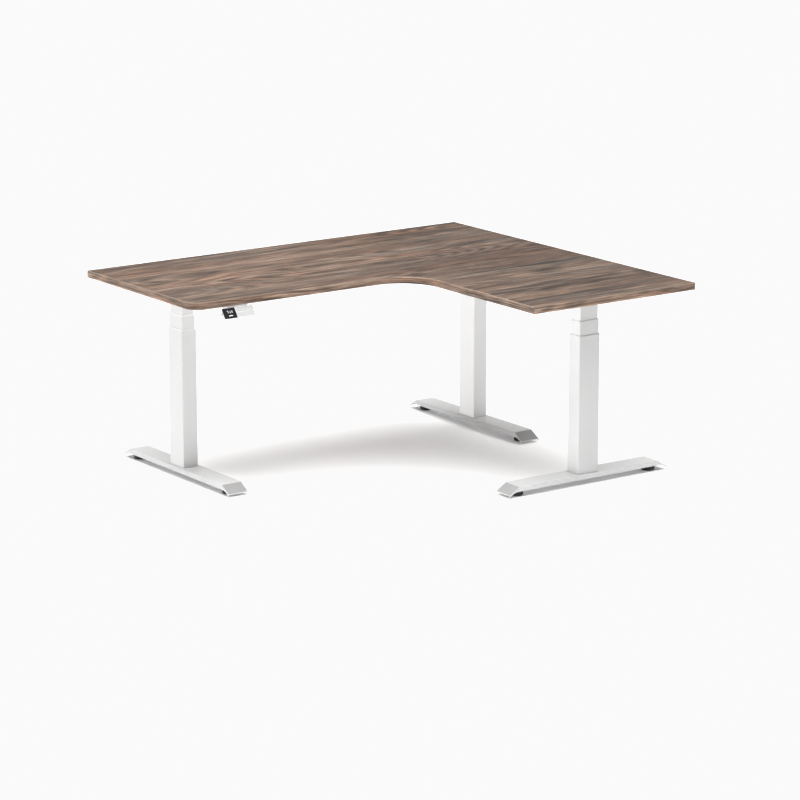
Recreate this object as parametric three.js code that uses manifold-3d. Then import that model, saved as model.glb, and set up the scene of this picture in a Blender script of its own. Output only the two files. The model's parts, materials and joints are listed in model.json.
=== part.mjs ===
// Height adjustable corner desk: one L-shaped top on three telescopic legs.
// Millimetres, +X along the long back edge to the user's right, +Y to the back, +Z up.
// The floor is z = 0 and the origin is the middle of the desk's footprint.
import * as THREE from 'three';
import { mergeVertices } from 'three/addons/utils/BufferGeometryUtils.js';
import Module from 'manifold-3d';

const wasm = await Module();
wasm.setup();

// ---------------------------------------------------------------- driving dimensions
const GAP = 0.3; // between two pieces that touch
const CURVE_STEPS = 6; // half the straight steps in each rounded corner of the top
const RUNNING = 0.4; // around a piece that slides or turns

const TOP = { length: 1600, reach: 1400, depth: 700, thickness: 25, frontRadius: 50, innerRadius: 150 };
const HEIGHT = 693; // floor to the top's upper face
const RAISED = 34; // how far each stage stands above its lowest position
const LOWEST = { middle: 50, slim: 62 }; // where the two sliding stages end, fully down
const EXPOSED = 51.6; // height of the middle stage that shows between the two collars
const BAND = 2; // edge band thickness
const WALL = 1.5; // leg tube wall
const STEP = 6; // a stage is this much smaller than the one around it
const OUTER = { width: 60, depth: 90, radius: 6 }; // lowest, widest stage
const FOOT = { width: 80, height: 38, flat: 610, span: 696, lip: 12 };
const FOOT_SHEET = { thickness: 3, side: 17.5, rim: 5, round: 12 };
const GLIDE = { radius: 25, height: 20, round: 6, offset: 292, stud: 4, studTop: 34.4, nut: 9 };
const BRACKET = { width: 72, length: 600, height: 30.7, sheet: 2.7, end: 10, taper: 100 };
const BRACKET_SCREWS = [140, 260]; // along the bracket, from its middle to both sides
const RAIL = { width: 40, height: 30, wall: 1.5, offset: 75 };
const LEG_INSET = 170; // leg axis to the top's end

// ---------------------------------------------------------------- derived places
const LEFT = -TOP.length / 2;
const RIGHT = TOP.length / 2;
const BACK = TOP.reach / 2;
const END = -TOP.reach / 2; // free end of the return
const FRONT = BACK - TOP.depth; // front edge of the long side
const INNER = RIGHT - TOP.depth; // inner edge of the return
const UNDERSIDE = HEIGHT - TOP.thickness;

const MIDDLE = { width: OUTER.width - STEP, depth: OUTER.depth - STEP, radius: 5 };
const SLIM = { width: MIDDLE.width - STEP, depth: MIDDLE.depth - STEP, radius: 4.5 };
const COLLAR = { flange: 3, skirt: 40 };
const PLATE = 4; // end plates welded into the tubes

const OUTER_BOTTOM = FOOT.height + GAP;
const OUTER_TOP = 525.6;
const MIDDLE_BOTTOM = LOWEST.middle + RAISED;
const MIDDLE_TOP = OUTER_TOP + EXPOSED;
const SLIM_BOTTOM = LOWEST.slim + 2 * RAISED;
const SLIM_TOP = UNDERSIDE - 6;
const MOTOR = { radius: 22.5, reach: 150, cap: 6, axis: UNDERSIDE - 27 };
const GEARBOX = { width: 40, depth: 56, bottom: UNDERSIDE - 47.7 };
const SCREW = { solid: 5, tubeInner: 5.6, tubeOuter: 8.1, bore: 8.5, hollow: 13, boss: 14, flange: 18 };
// Lengths along the lift screws: the two nuts, the turned shoulders and the screws themselves.
const ALONG = { slimNut: 30, hollowNut: 40, seat: 4, shoulder: 6, hub: 24, hollow: 416, fixedTop: 430 };

const COLOUR = {
  wood: 0x7d665a,
  band: 0x7a6053,
  white: 0xf1f1f0,
  collar: 0xe4e4e2,
  black: 0x1b1b1c,
  steel: 0x9b9da0,
  brass: 0xb08d4f,
  grey: 0x5a5c5f,
  key: 0xe6e6e6,
};

// ---------------------------------------------------------------- solids and booleans
function toManifold(geometry) {
  const bare = geometry.clone();
  bare.deleteAttribute('normal');
  bare.deleteAttribute('uv');
  const merged = mergeVertices(bare, 1e-3);
  const triVerts = new Uint32Array(merged.index.array);
  const vertProperties = merged.attributes.position.array;
  return new wasm.Manifold(new wasm.Mesh({ numProp: 3, vertProperties, triVerts }));
}

function toGeometry(manifold) {
  const { vertProperties, triVerts } = manifold.getMesh();
  const geometry = new THREE.BufferGeometry();
  geometry.setAttribute('position', new THREE.BufferAttribute(vertProperties, 3));
  geometry.setIndex(new THREE.BufferAttribute(triVerts, 1));
  return geometry;
}

function join(...pieces) {
  return toGeometry(pieces.map(toManifold).reduce((sum, piece) => sum.add(piece)));
}

function cut(body, ...tools) {
  return toGeometry(tools.map(toManifold).reduce((rest, tool) => rest.subtract(tool), toManifold(body)));
}

function box([x0, x1], [y0, y1], [z0, z1]) {
  const geometry = new THREE.BoxGeometry(x1 - x0, y1 - y0, z1 - z0);
  return geometry.translate((x0 + x1) / 2, (y0 + y1) / 2, (z0 + z1) / 2);
}

function extrude(shape, z0, z1, curveSegments = 1) {
  const geometry = new THREE.ExtrudeGeometry(shape, { depth: z1 - z0, bevelEnabled: false, curveSegments });
  return geometry.translate(0, 0, z0);
}

// A side view drawn in (y, z) and given its thickness along x.
function extrudeAlongX(shape, x0, x1, curveSegments = 1) {
  const [x, y, z] = [new THREE.Vector3(1, 0, 0), new THREE.Vector3(0, 1, 0), new THREE.Vector3(0, 0, 1)];
  return extrude(shape, x0, x1, curveSegments).applyMatrix4(new THREE.Matrix4().makeBasis(y, z, x));
}

// A turned piece on the z axis, from its half section as [radius, height] pairs.
function turned(section, sides = 24) {
  const profile = section.map(([radius, height]) => new THREE.Vector2(radius, height));
  return new THREE.LatheGeometry(profile, sides).rotateX(Math.PI / 2);
}

function rod(radius, z0, z1, sides = 16) {
  return turned([[0, z0], [radius, z0], [radius, z1], [0, z1]], sides);
}

function polygon(points) {
  return new THREE.Shape(points.map(([u, v]) => new THREE.Vector2(u, v)));
}

function roundedRectangle(width, depth, radius, PathType = THREE.Shape) {
  const [x, y] = [width / 2 - radius, depth / 2 - radius];
  const path = new PathType();
  path.absarc(x, y, radius, 0, Math.PI / 2);
  path.absarc(-x, y, radius, Math.PI / 2, Math.PI);
  path.absarc(-x, -y, radius, Math.PI, 1.5 * Math.PI);
  path.absarc(x, -y, radius, 1.5 * Math.PI, 2 * Math.PI);
  path.closePath();
  return path;
}

// A rectangular ring: outer size and corner radius, then the same for its opening.
function ring(outer, opening) {
  const shape = roundedRectangle(outer.width, outer.depth, outer.radius);
  shape.holes.push(roundedRectangle(opening.width, opening.depth, opening.radius, THREE.Path));
  return shape;
}

// The same rounded rectangle grown by a margin on every side, or shrunk by a negative one.
function grown({ width, depth, radius }, margin) {
  return { width: width + 2 * margin, depth: depth + 2 * margin, radius: radius + margin };
}

function material(color, roughness = 0.5, metalness = 0) {
  return new THREE.MeshStandardMaterial({ color, roughness, metalness, flatShading: true });
}

const look = {
  wood: material(COLOUR.wood, 0.5),
  band: material(COLOUR.band, 0.45),
  white: material(COLOUR.white, 0.4),
  collar: material(COLOUR.collar, 0.5),
  black: material(COLOUR.black, 0.5),
  gloss: material(COLOUR.black, 0.1),
  steel: material(COLOUR.steel, 0.35, 1),
  brass: material(COLOUR.brass, 0.4, 1),
  grey: material(COLOUR.grey, 0.6),
  key: material(COLOUR.key, 0.4),
};

function piece(name, geometry, finish) {
  const mesh = new THREE.Mesh(geometry, finish);
  mesh.name = name;
  return mesh;
}

// ---------------------------------------------------------------- the top and its edge bands
// The free edge as the user meets it: left side, rounded front corner, front, hollow curve, inner edge.
// An inset of 0 follows the outline and a larger one runs inside it.
function traceFreeEdge(path, inset) {
  const { frontRadius, innerRadius } = TOP;
  path.lineTo(LEFT + inset, FRONT + frontRadius);
  path.absarc(LEFT + frontRadius, FRONT + frontRadius, frontRadius - inset, Math.PI, 1.5 * Math.PI);
  path.absarc(INNER - innerRadius, FRONT - innerRadius, innerRadius + inset, Math.PI / 2, 0, true);
  path.lineTo(INNER + inset, END + BAND + GAP);
}

function traceFreeEdgeBack(path, inset) {
  const { frontRadius, innerRadius } = TOP;
  path.lineTo(INNER + inset, FRONT - innerRadius);
  path.absarc(INNER - innerRadius, FRONT - innerRadius, innerRadius + inset, 0, Math.PI / 2);
  path.absarc(LEFT + frontRadius, FRONT + frontRadius, frontRadius - inset, 1.5 * Math.PI, Math.PI, true);
  path.lineTo(LEFT + inset, BACK - BAND - GAP);
}

function desktopPanel() {
  const inset = BAND + GAP;
  const outline = new THREE.Shape();
  outline.moveTo(LEFT + inset, BACK - inset);
  traceFreeEdge(outline, inset);
  outline.lineTo(RIGHT - inset, END + inset);
  outline.lineTo(RIGHT - inset, BACK - inset);
  return piece('desktop_panel', extrude(outline, UNDERSIDE, HEIGHT, CURVE_STEPS), look.wood);
}

function frontBand() {
  const outline = new THREE.Shape();
  outline.moveTo(LEFT, BACK - BAND - GAP);
  traceFreeEdge(outline, 0);
  outline.lineTo(INNER + BAND, END + BAND + GAP);
  traceFreeEdgeBack(outline, BAND);
  return piece('edge_band_front', extrude(outline, UNDERSIDE, HEIGHT, CURVE_STEPS), look.band);
}

function straightBand(name, xSpan, ySpan) {
  return piece(name, box(xSpan, ySpan, [UNDERSIDE, HEIGHT]), look.band);
}

function desktop() {
  return [
    desktopPanel(),
    frontBand(),
    straightBand('edge_band_back', [LEFT, RIGHT], [BACK - BAND, BACK]),
    straightBand('edge_band_right', [RIGHT - BAND, RIGHT], [END, BACK - BAND - GAP]),
    straightBand('edge_band_end', [INNER, RIGHT - BAND - GAP], [END, END + BAND]),
  ];
}

// ---------------------------------------------------------------- one leg, its foot along y
// Folded sheet foot: flat on top, sloping down to a thin lip at each end, open underneath.
function footSlope() {
  const [bend, tip] = [FOOT.flat / 2, FOOT.span / 2];
  const angle = Math.atan2(FOOT.height - FOOT.lip, tip - bend);
  // A point a given depth below the sloping face, measured from its tip or from its bend.
  const under = (y, z, depth) => [y - depth * Math.sin(angle), z - depth * Math.cos(angle)];
  return { bend, tip, angle, under };
}

function footSheet() {
  const { bend, tip, angle, under } = footSlope();
  const [tipY, tipZ] = under(tip, FOOT.lip, FOOT_SHEET.thickness);
  const bendY = bend - FOOT_SHEET.thickness * Math.tan(angle / 2);
  const bendZ = FOOT.height - FOOT_SHEET.thickness;
  const outline = polygon([
    [-tip, FOOT.lip], [-tipY, tipZ], [-bendY, bendZ], [bendY, bendZ],
    [tipY, tipZ], [tip, FOOT.lip], [bend, FOOT.height], [-bend, FOOT.height],
  ]);
  return extrudeAlongX(outline, -FOOT.width / 2, FOOT.width / 2);
}

// Each side wall hangs from the sheet and its lower edge rounds into the sloping lip.
function footSideOutline() {
  const { bend, tip, angle, under } = footSlope();
  const [lipY, lipZ] = under(tip, FOOT.lip, FOOT_SHEET.rim);
  const wallZ = FOOT.height - FOOT_SHEET.side;
  const cornerY = lipY - (wallZ - lipZ) / Math.tan(angle);
  const { round } = FOOT_SHEET;
  const [nearY, nearZ] = [cornerY + round * Math.cos(angle), wallZ - round * Math.sin(angle)];
  const outline = new THREE.Shape();
  outline.moveTo(-bend, FOOT.height - 1);
  outline.lineTo(-tip + 1, FOOT.lip - 0.5);
  outline.lineTo(-lipY, lipZ);
  outline.lineTo(-nearY, nearZ);
  outline.quadraticCurveTo(-cornerY, wallZ, -cornerY + round, wallZ);
  outline.lineTo(cornerY - round, wallZ);
  outline.quadraticCurveTo(cornerY, wallZ, nearY, nearZ);
  outline.lineTo(lipY, lipZ);
  outline.lineTo(tip - 1, FOOT.lip - 0.5);
  outline.lineTo(bend, FOOT.height - 1);
  return outline;
}

function foot(name) {
  const half = FOOT.width / 2;
  const side = footSideOutline();
  const walls = [[-half, FOOT_SHEET.thickness - half], [half - FOOT_SHEET.thickness, half]]
    .map(([x0, x1]) => extrudeAlongX(side, x0, x1, 4));
  const [nutBottom, ceiling] = [GLIDE.height + 1, FOOT.height - FOOT_SHEET.thickness];
  const atBothEnds = (makeRod) => [-1, 1].map((end) => makeRod().translate(0, end * GLIDE.offset, 0));
  const nuts = atBothEnds(() => rod(GLIDE.nut, nutBottom, FOOT.height - 1, 6));
  const threads = atBothEnds(() => rod(GLIDE.stud + GAP, nutBottom - 1, ceiling, 12));
  return piece(name, cut(join(footSheet(), ...walls, ...nuts), ...threads), look.white);
}

// Round foot pad with its threaded stud, screwed up into the foot.
function glide(name, end) {
  const { radius, height, round, stud, studTop, offset } = GLIDE;
  const arc = [0, 1, 2, 3].map((step) => {
    const angle = (step / 3) * (Math.PI / 2);
    return [radius - round + round * Math.sin(angle), round - round * Math.cos(angle)];
  });
  const section = [[0, 0], ...arc, [radius, height], [stud, height], [stud, studTop], [0, studTop]];
  return piece(name, turned(section, 16).translate(0, end * offset, 0), look.black);
}

function legTube(size, z0, z1) {
  return extrude(ring(size, grown(size, -WALL)), z0, z1);
}

function endPlate(size, z0, z1 = z0 + PLATE) {
  return extrude(roundedRectangle(size.width - WALL, size.depth - WALL, size.radius), z0, z1);
}

function outerTube(name) {
  const tube = join(legTube(OUTER, OUTER_BOTTOM, OUTER_TOP), endPlate(OUTER, OUTER_BOTTOM));
  return piece(name, tube, look.white);
}

// Plastic glide collar: a flange on the tube's top edge and a skirt down between the two stages.
function collar(name, around, inside, top) {
  const opening = grown(inside, RUNNING);
  const flange = extrude(ring(around, opening), top + GAP, top + GAP + COLLAR.flange);
  const skirt = extrude(ring(grown(around, -WALL - GAP), opening), top - COLLAR.skirt, top + GAP + 0.5);
  return piece(name, join(flange, skirt), look.collar);
}

function middleTube(name) {
  const tube = join(legTube(MIDDLE, MIDDLE_BOTTOM, MIDDLE_TOP), endPlate(MIDDLE, MIDDLE_BOTTOM));
  const passage = rod(SCREW.tubeInner, MIDDLE_BOTTOM - 1, MIDDLE_BOTTOM + PLATE + 1);
  return piece(name, cut(tube, passage), look.white);
}

// The slim stage carries the lifting nut at its foot and a window for the motor at its head.
function slimTube(name) {
  const nutTop = SLIM_BOTTOM + ALONG.slimNut;
  const body = join(
    legTube(SLIM, SLIM_BOTTOM, SLIM_TOP),
    endPlate(SLIM, SLIM_BOTTOM),
    rod(SCREW.flange, SLIM_BOTTOM + 1, nutTop),
  );
  const thread = rod(SCREW.hollow + RUNNING, SLIM_BOTTOM - 1, nutTop + 1);
  const half = MOTOR.radius + 1.5;
  const wallSide = [SLIM.width / 2 - 3, SLIM.width / 2 + 1];
  const window = box(wallSide, [-half, half], [MOTOR.axis - half, SLIM_TOP + 1]);
  return piece(name, cut(body, thread, window), look.white);
}

function gearmotor(name) {
  const { width, depth, bottom } = GEARBOX;
  const gearbox = box([-width / 2, width / 2], [-depth / 2, depth / 2], [bottom, SLIM_TOP]);
  const can = rod(MOTOR.radius, width / 2 - 5, MOTOR.reach, 20);
  const cap = rod(MOTOR.radius - 3, MOTOR.reach - 1, MOTOR.reach + MOTOR.cap, 20);
  const motor = join(can, cap).rotateY(Math.PI / 2).translate(0, 0, MOTOR.axis);
  return piece(name, join(gearbox, motor), look.black);
}

// The gearbox turns the drive tube, which is keyed in the hollow screw and turns it at any extension.
function driveTube(name) {
  const top = GEARBOX.bottom - GAP;
  const { tubeInner, tubeOuter, boss } = SCREW;
  const [bottom, hub] = [SLIM_BOTTOM + ALONG.slimNut + ALONG.shoulder, top - ALONG.hub];
  const section = [
    [tubeInner, bottom], [tubeOuter, bottom], [tubeOuter, hub], [boss, hub],
    [boss, top], [tubeInner, top], [tubeInner, bottom],
  ];
  return piece(name, turned(section, 12), look.steel);
}

// Its own nut, low in the bore, climbs the fixed screw while its outer thread lifts the slim stage.
function hollowScrew(name) {
  const bottom = MIDDLE_BOTTOM + PLATE + GAP;
  const [nutTop, top, flangeTop] = [ALONG.hollowNut, ALONG.hollow, ALONG.shoulder].map((z) => bottom + z);
  const { hollow, bore, tubeInner, flange } = SCREW;
  const section = [
    [tubeInner, bottom], [flange, bottom], [flange, flangeTop], [hollow, flangeTop], [hollow, top],
    [bore, top], [bore, nutTop], [tubeInner, nutTop], [tubeInner, bottom],
  ];
  return piece(name, turned(section, 16), look.steel);
}

function fixedScrew(name) {
  const bottom = OUTER_BOTTOM + PLATE + GAP;
  const [seatTop, top] = [bottom + ALONG.seat, ALONG.fixedTop];
  const { solid, boss } = SCREW;
  const section = [[0, bottom], [boss, bottom], [boss, seatTop], [solid, seatTop], [solid, top], [0, top]];
  return piece(name, turned(section, 12), look.steel);
}

// Channel under the top: its flanges taper at both ends and two ribs hold the slim stage between them.
function topBracket(name) {
  const { width, length, height, sheet, end, taper } = BRACKET;
  const top = UNDERSIDE - GAP;
  const [half, reach, low] = [width / 2, length / 2, top - height];
  const web = box([-half, half], [-reach, reach], [top - sheet, top]);
  const side = polygon([
    [-reach, top - 1], [-reach, top - end], [taper - reach, low],
    [reach - taper, low], [reach, top - end], [reach, top - 1],
  ]);
  const flanges = [[-half, sheet - half], [half - sheet, half]]
    .map(([x0, x1]) => extrudeAlongX(side, x0, x1));
  const ribFace = SLIM.depth / 2 + RUNNING;
  const ribs = [[-ribFace - sheet, -ribFace], [ribFace, ribFace + sheet]]
    .map((span) => box([1 - half, half - 1], span, [low + 2, top - 1]));
  const clear = MOTOR.radius + 2;
  const motorGap = box([half - sheet - 1, half + 1], [-clear, clear], [low - 1, top - sheet]);
  const screwHoles = BRACKET_SCREWS.flatMap((y) => [-y, y])
    .map((y) => rod(3, top - sheet - 1, top + 1, 8).translate(0, y, 0));
  return piece(name, cut(join(web, ...flanges, ...ribs), motorGap, ...screwHoles), look.white);
}

function leg(prefix, x, y, turn) {
  const group = new THREE.Group();
  group.position.set(x, y, 0);
  group.rotation.z = turn;
  group.add(
    foot(`${prefix}_foot`),
    glide(`${prefix}_glide_a`, -1),
    glide(`${prefix}_glide_b`, 1),
    outerTube(`${prefix}_outer_tube`),
    collar(`${prefix}_outer_collar`, OUTER, MIDDLE, OUTER_TOP),
    middleTube(`${prefix}_middle_tube`),
    collar(`${prefix}_middle_collar`, MIDDLE, SLIM, MIDDLE_TOP),
    slimTube(`${prefix}_slim_tube`),
    gearmotor(`${prefix}_gearmotor`),
    driveTube(`${prefix}_drive_tube`),
    hollowScrew(`${prefix}_hollow_screw`),
    fixedScrew(`${prefix}_fixed_screw`),
    topBracket(`${prefix}_bracket`),
  );
  return group;
}

// ---------------------------------------------------------------- rails between the brackets
const LEG_LINE = (BACK + FRONT) / 2; // y of the left and corner legs
const RETURN_LEG = { x: (RIGHT + INNER) / 2, y: END + LEG_INSET };
const railTop = UNDERSIDE - GAP;

function railSection() {
  const size = { width: RAIL.width, depth: RAIL.height, radius: 3 };
  return ring(size, grown(size, -RAIL.wall));
}

function longRail(name, y) {
  const reach = RIGHT - LEG_INSET - BRACKET.width / 2 - GAP;
  const rail = extrudeAlongX(railSection(), -reach, reach);
  return piece(name, rail.translate(0, y, railTop - RAIL.height / 2), look.white);
}

function returnRail(name, x) {
  const near = RETURN_LEG.y + BRACKET.width / 2 + GAP;
  const far = LEG_LINE - RAIL.offset - RAIL.width / 2 - GAP;
  const rail = extrudeAlongX(railSection(), near, far).rotateZ(Math.PI / 2);
  return piece(name, rail.translate(x, 0, railTop - RAIL.height / 2), look.white);
}

// ---------------------------------------------------------------- control box, between the long rails
const BOX = { x: 150, y: 48, wall: 2, bottom: railTop - 37, split: railTop - 25.5 };

function tray(zOpen, zClosed) {
  const [low, high] = [Math.min(zOpen, zClosed), Math.max(zOpen, zClosed)];
  const outside = box([-BOX.x, BOX.x], [-BOX.y, BOX.y], [low, high]);
  const [x, y] = [BOX.x - BOX.wall, BOX.y - BOX.wall];
  const hollow = zOpen < zClosed ? [low - 1, high - BOX.wall] : [low + BOX.wall, high + 1];
  return cut(outside, box([-x, x], [-y, y], hollow));
}

const INLET = { x: [BOX.x - 14, BOX.x + 1.5], y: [9, 39], z: [BOX.split + 2.5, BOX.split + 20.5] };
const INLET_SOCKET = { rim: 3, depth: 9 };

function controlBox() {
  const widened = ([low, high]) => [low - GAP, high + GAP];
  const opening = box([BOX.x - BOX.wall - 1, BOX.x + 1], widened(INLET.y), widened(INLET.z));
  const shell = cut(tray(BOX.split, railTop), opening).translate(0, LEG_LINE, 0);
  const cover = tray(BOX.split - GAP, BOX.bottom).translate(0, LEG_LINE, 0);
  const inset = ([low, high]) => [low + INLET_SOCKET.rim, high - INLET_SOCKET.rim];
  const socket = box([BOX.x - INLET_SOCKET.depth, BOX.x + 3], inset(INLET.y), inset(INLET.z));
  const inlet = cut(box(INLET.x, INLET.y, INLET.z), socket).translate(0, LEG_LINE, 0);
  return [
    piece('control_box_shell', shell, look.black),
    piece('control_box_cover', cover, look.black),
    piece('mains_inlet', inlet, look.black),
  ];
}

// ---------------------------------------------------------------- handset under the front edge
// Local frame of its face: x along the edge, y up the sloping face, z out of it.
const HANDSET = { x: -624.5, width: 123, face: 39.2, thick: 7, fall: 31, lean: 24, drop: 5 };
const SCREEN = { width: 50, thick: 3 };
const KEYS = { length: 67, margin: 2.5, low: 1.5, high: 17.4, top: -0.8, thick: 3.5, pocket: 5.8 };
// The housing reaches back under the top as a wedge, screwed up into it; left and right are from its middle.
const TONGUE = {
  reach: 40, left: 35, right: 45, depth: 27, backDepth: 14, toe: 15, heel: 7, throat: { back: 3, below: 8 },
};
const SIDE_SOCKET = { across: [-2.5, 9], up: [-1, 7], depth: [-11, -6] }; // small socket at the left end

function onFace(geometry) {
  const { x, fall, lean, drop } = HANDSET;
  const tilt = Math.atan2(fall, lean);
  return geometry.rotateX(tilt).translate(x, FRONT - lean / 2, UNDERSIDE - drop - fall / 2);
}

// One key's span across the face and up it: sign 1 is the up key, -1 the down key.
function keySpan(sign, around) {
  const [low, high] = [sign * KEYS.low, sign * KEYS.high].sort((a, b) => a - b);
  const left = SCREEN.width - HANDSET.width / 2 + KEYS.margin;
  return [[left - around, left + KEYS.length + around], [low - around, high + around]];
}

function handset() {
  const { width, face, thick } = HANDSET;
  const [halfWidth, halfFace] = [width / 2, face / 2];
  const body = onFace(box([-halfWidth, halfWidth], [-halfFace, halfFace], [-thick, 0]));
  const { reach, left, right, depth, backDepth, toe, throat, heel } = TONGUE;
  const tongue = extrudeAlongX(polygon([
    [FRONT - toe, UNDERSIDE - depth], [FRONT + reach, UNDERSIDE - backDepth], [FRONT + reach, railTop],
    [FRONT + heel, railTop], [FRONT + throat.back, UNDERSIDE - throat.below],
  ]), HANDSET.x - left, HANDSET.x + right);
  const acrossSocket = SIDE_SOCKET.across.map((x) => x - halfWidth);
  const socket = onFace(box(acrossSocket, SIDE_SOCKET.up, SIDE_SOCKET.depth));
  const screenEdge = SCREEN.width - halfWidth;
  const screen = [[-halfWidth, screenEdge], [-halfFace, halfFace]];
  const recess = [[-halfWidth - 1, screenEdge + GAP], [-halfFace - 1, halfFace + 1]];
  const screenRecess = onFace(box(...recess, [-SCREEN.thick - GAP, 1]));
  const pockets = [1, -1].map((sign) => onFace(box(...keySpan(sign, GAP), [-KEYS.pocket, 1])));
  const keyHeight = [KEYS.top - KEYS.thick, KEYS.top];
  return [
    piece('handset_housing', cut(join(body, tongue, socket), screenRecess, ...pockets), look.white),
    piece('handset_display', onFace(box(...screen, [-SCREEN.thick, 0])), look.gloss),
    piece('handset_up_key', onFace(box(...keySpan(1, 0), keyHeight)), look.key),
    piece('handset_down_key', onFace(box(...keySpan(-1, 0), keyHeight)), look.key),
  ];
}

// ---------------------------------------------------------------- leads under the top
const LEAD = { motor: 3, handset: 2.2, bend: 14 }; // cable radii, and how wide they turn a corner

// A route through its corners, each one rounded; the curve steps from point to point of the list.
class Route extends THREE.Curve {
  constructor(corners, radius) {
    super();
    const places = corners.map((corner) => new THREE.Vector3(...corner));
    this.points = places.flatMap((place, index) => {
      if (index === 0 || index === places.length - 1) return [place];
      const [before, after] = [places[index - 1], places[index + 1]]
        .map((next) => place.clone().lerp(next, Math.min(0.45, radius / place.distanceTo(next))));
      const bend = new THREE.QuadraticBezierCurve3(before, place, after);
      return bend.getPoints(3);
    });
  }

  getPoint(t, target = new THREE.Vector3()) {
    const place = Math.min(t, 1) * (this.points.length - 1);
    const index = Math.min(Math.floor(place), this.points.length - 2);
    return target.lerpVectors(this.points[index], this.points[index + 1], place - index);
  }

  getPointAt(t, target) {
    return this.getPoint(t, target);
  }

  getTangentAt(t, target) {
    return this.getTangent(t, target);
  }
}

function lead(name, radius, corners) {
  const route = new Route(corners, LEAD.bend);
  const section = new THREE.Shape(new THREE.EllipseCurve(0, 0, radius, radius).getPoints(6).slice(0, 6));
  const geometry = new THREE.ExtrudeGeometry(section, {
    steps: route.points.length - 1,
    extrudePath: route,
    bevelEnabled: false,
  });
  return piece(name, geometry, look.black);
}

// Motor leads cross to the control box between the rails; the return and handset leads duck under a rail.
function leads() {
  const capEnd = MOTOR.reach + MOTOR.cap + GAP;
  const motorZ = MOTOR.axis;
  const [high, socketZ, low] = [railTop - 6, railTop - 12, railTop - RAIL.height - 4.5];
  const [beforeRail, atRail] = [60, 30]; // from a rail's centre line to where a lead dips and passes under it
  const [swing, drop] = [400, 430]; // x where the long motor leads rise to the top
  const [dip, dipped] = [200, 180]; // x where leads come down to the box's sockets
  const besideRail = 48; // the return lead runs this far behind the front rail's centre line
  const cornerY = LEG_LINE - 10;
  const boxEnd = BOX.x + GAP;
  const corner = RIGHT - LEG_INSET;
  const [plugX, plugZ] = [HANDSET.x + 38, railTop - 7];
  const [frontRail, { x: returnX, y: returnY }] = [LEG_LINE - RAIL.offset, RETURN_LEG];
  const handsetY = frontRail + 45; // line of the handset's lead at the box
  return [
    lead('left_motor_lead', LEAD.motor, [
      [-corner + capEnd, LEG_LINE, motorZ], [-drop, LEG_LINE, motorZ], [-swing, LEG_LINE, high],
      [-dip, LEG_LINE, high], [-dipped, LEG_LINE, socketZ], [-boxEnd, LEG_LINE, socketZ],
    ]),
    lead('corner_motor_lead', LEAD.motor, [
      [corner - capEnd, LEG_LINE, motorZ], [drop, LEG_LINE, motorZ], [swing, cornerY, high],
      [dip, cornerY, high], [dipped, cornerY, socketZ], [boxEnd, cornerY, socketZ],
    ]),
    lead('return_motor_lead', LEAD.motor, [
      [returnX, returnY + capEnd, motorZ], [returnX, returnY + 200, motorZ],
      [returnX, returnY + 230, high], [returnX, frontRail - beforeRail, high],
      [returnX, frontRail - atRail, low], [returnX, frontRail + atRail, low],
      [returnX - 20, frontRail + besideRail, socketZ], [dip, frontRail + besideRail, socketZ],
      [boxEnd, frontRail + besideRail, socketZ],
    ]),
    lead('handset_lead', LEAD.handset, [
      [plugX, FRONT + TONGUE.reach + GAP, plugZ], [plugX, frontRail - beforeRail, plugZ],
      [plugX, frontRail - atRail, low], [plugX, frontRail + atRail, low],
      [plugX + 30, handsetY, socketZ], [-dip, handsetY, socketZ], [-boxEnd, handsetY, socketZ],
    ]),
  ];
}

// ---------------------------------------------------------------- the whole desk
const desk = new THREE.Group();
desk.add(
  ...desktop(),
  leg('left', LEFT + LEG_INSET, LEG_LINE, 0),
  leg('corner', RIGHT - LEG_INSET, LEG_LINE, Math.PI),
  leg('return', RETURN_LEG.x, RETURN_LEG.y, Math.PI / 2),
  longRail('long_rail_front', LEG_LINE - RAIL.offset),
  longRail('long_rail_back', LEG_LINE + RAIL.offset),
  returnRail('return_rail_inner', RETURN_LEG.x - RAIL.offset),
  returnRail('return_rail_outer', RETURN_LEG.x + RAIL.offset),
  ...controlBox(),
  ...handset(),
  ...leads(),
);

export default desk;
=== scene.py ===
"""Looks of the height adjustable corner desk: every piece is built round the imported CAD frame, in metres."""
import json
import math

import bmesh
import bpy
from mathutils import Matrix, Vector

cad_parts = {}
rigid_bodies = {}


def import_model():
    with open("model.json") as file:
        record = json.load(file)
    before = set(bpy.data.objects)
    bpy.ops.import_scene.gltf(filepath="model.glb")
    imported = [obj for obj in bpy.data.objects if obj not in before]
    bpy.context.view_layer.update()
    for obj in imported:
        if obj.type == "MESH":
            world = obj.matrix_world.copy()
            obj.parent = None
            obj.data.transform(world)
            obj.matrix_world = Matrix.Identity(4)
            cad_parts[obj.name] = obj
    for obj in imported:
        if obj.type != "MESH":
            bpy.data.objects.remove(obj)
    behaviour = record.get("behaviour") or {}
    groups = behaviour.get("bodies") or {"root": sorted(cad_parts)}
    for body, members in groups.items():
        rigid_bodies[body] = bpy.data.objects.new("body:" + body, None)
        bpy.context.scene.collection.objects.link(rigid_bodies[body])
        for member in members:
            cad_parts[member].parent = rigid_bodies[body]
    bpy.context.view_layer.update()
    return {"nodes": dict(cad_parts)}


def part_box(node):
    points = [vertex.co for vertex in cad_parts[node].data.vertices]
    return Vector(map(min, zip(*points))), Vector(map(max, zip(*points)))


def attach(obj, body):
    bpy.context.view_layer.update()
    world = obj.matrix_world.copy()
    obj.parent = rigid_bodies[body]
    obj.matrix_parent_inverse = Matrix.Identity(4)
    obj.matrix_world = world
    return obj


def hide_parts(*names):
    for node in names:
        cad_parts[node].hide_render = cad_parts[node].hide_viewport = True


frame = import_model()

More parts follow.
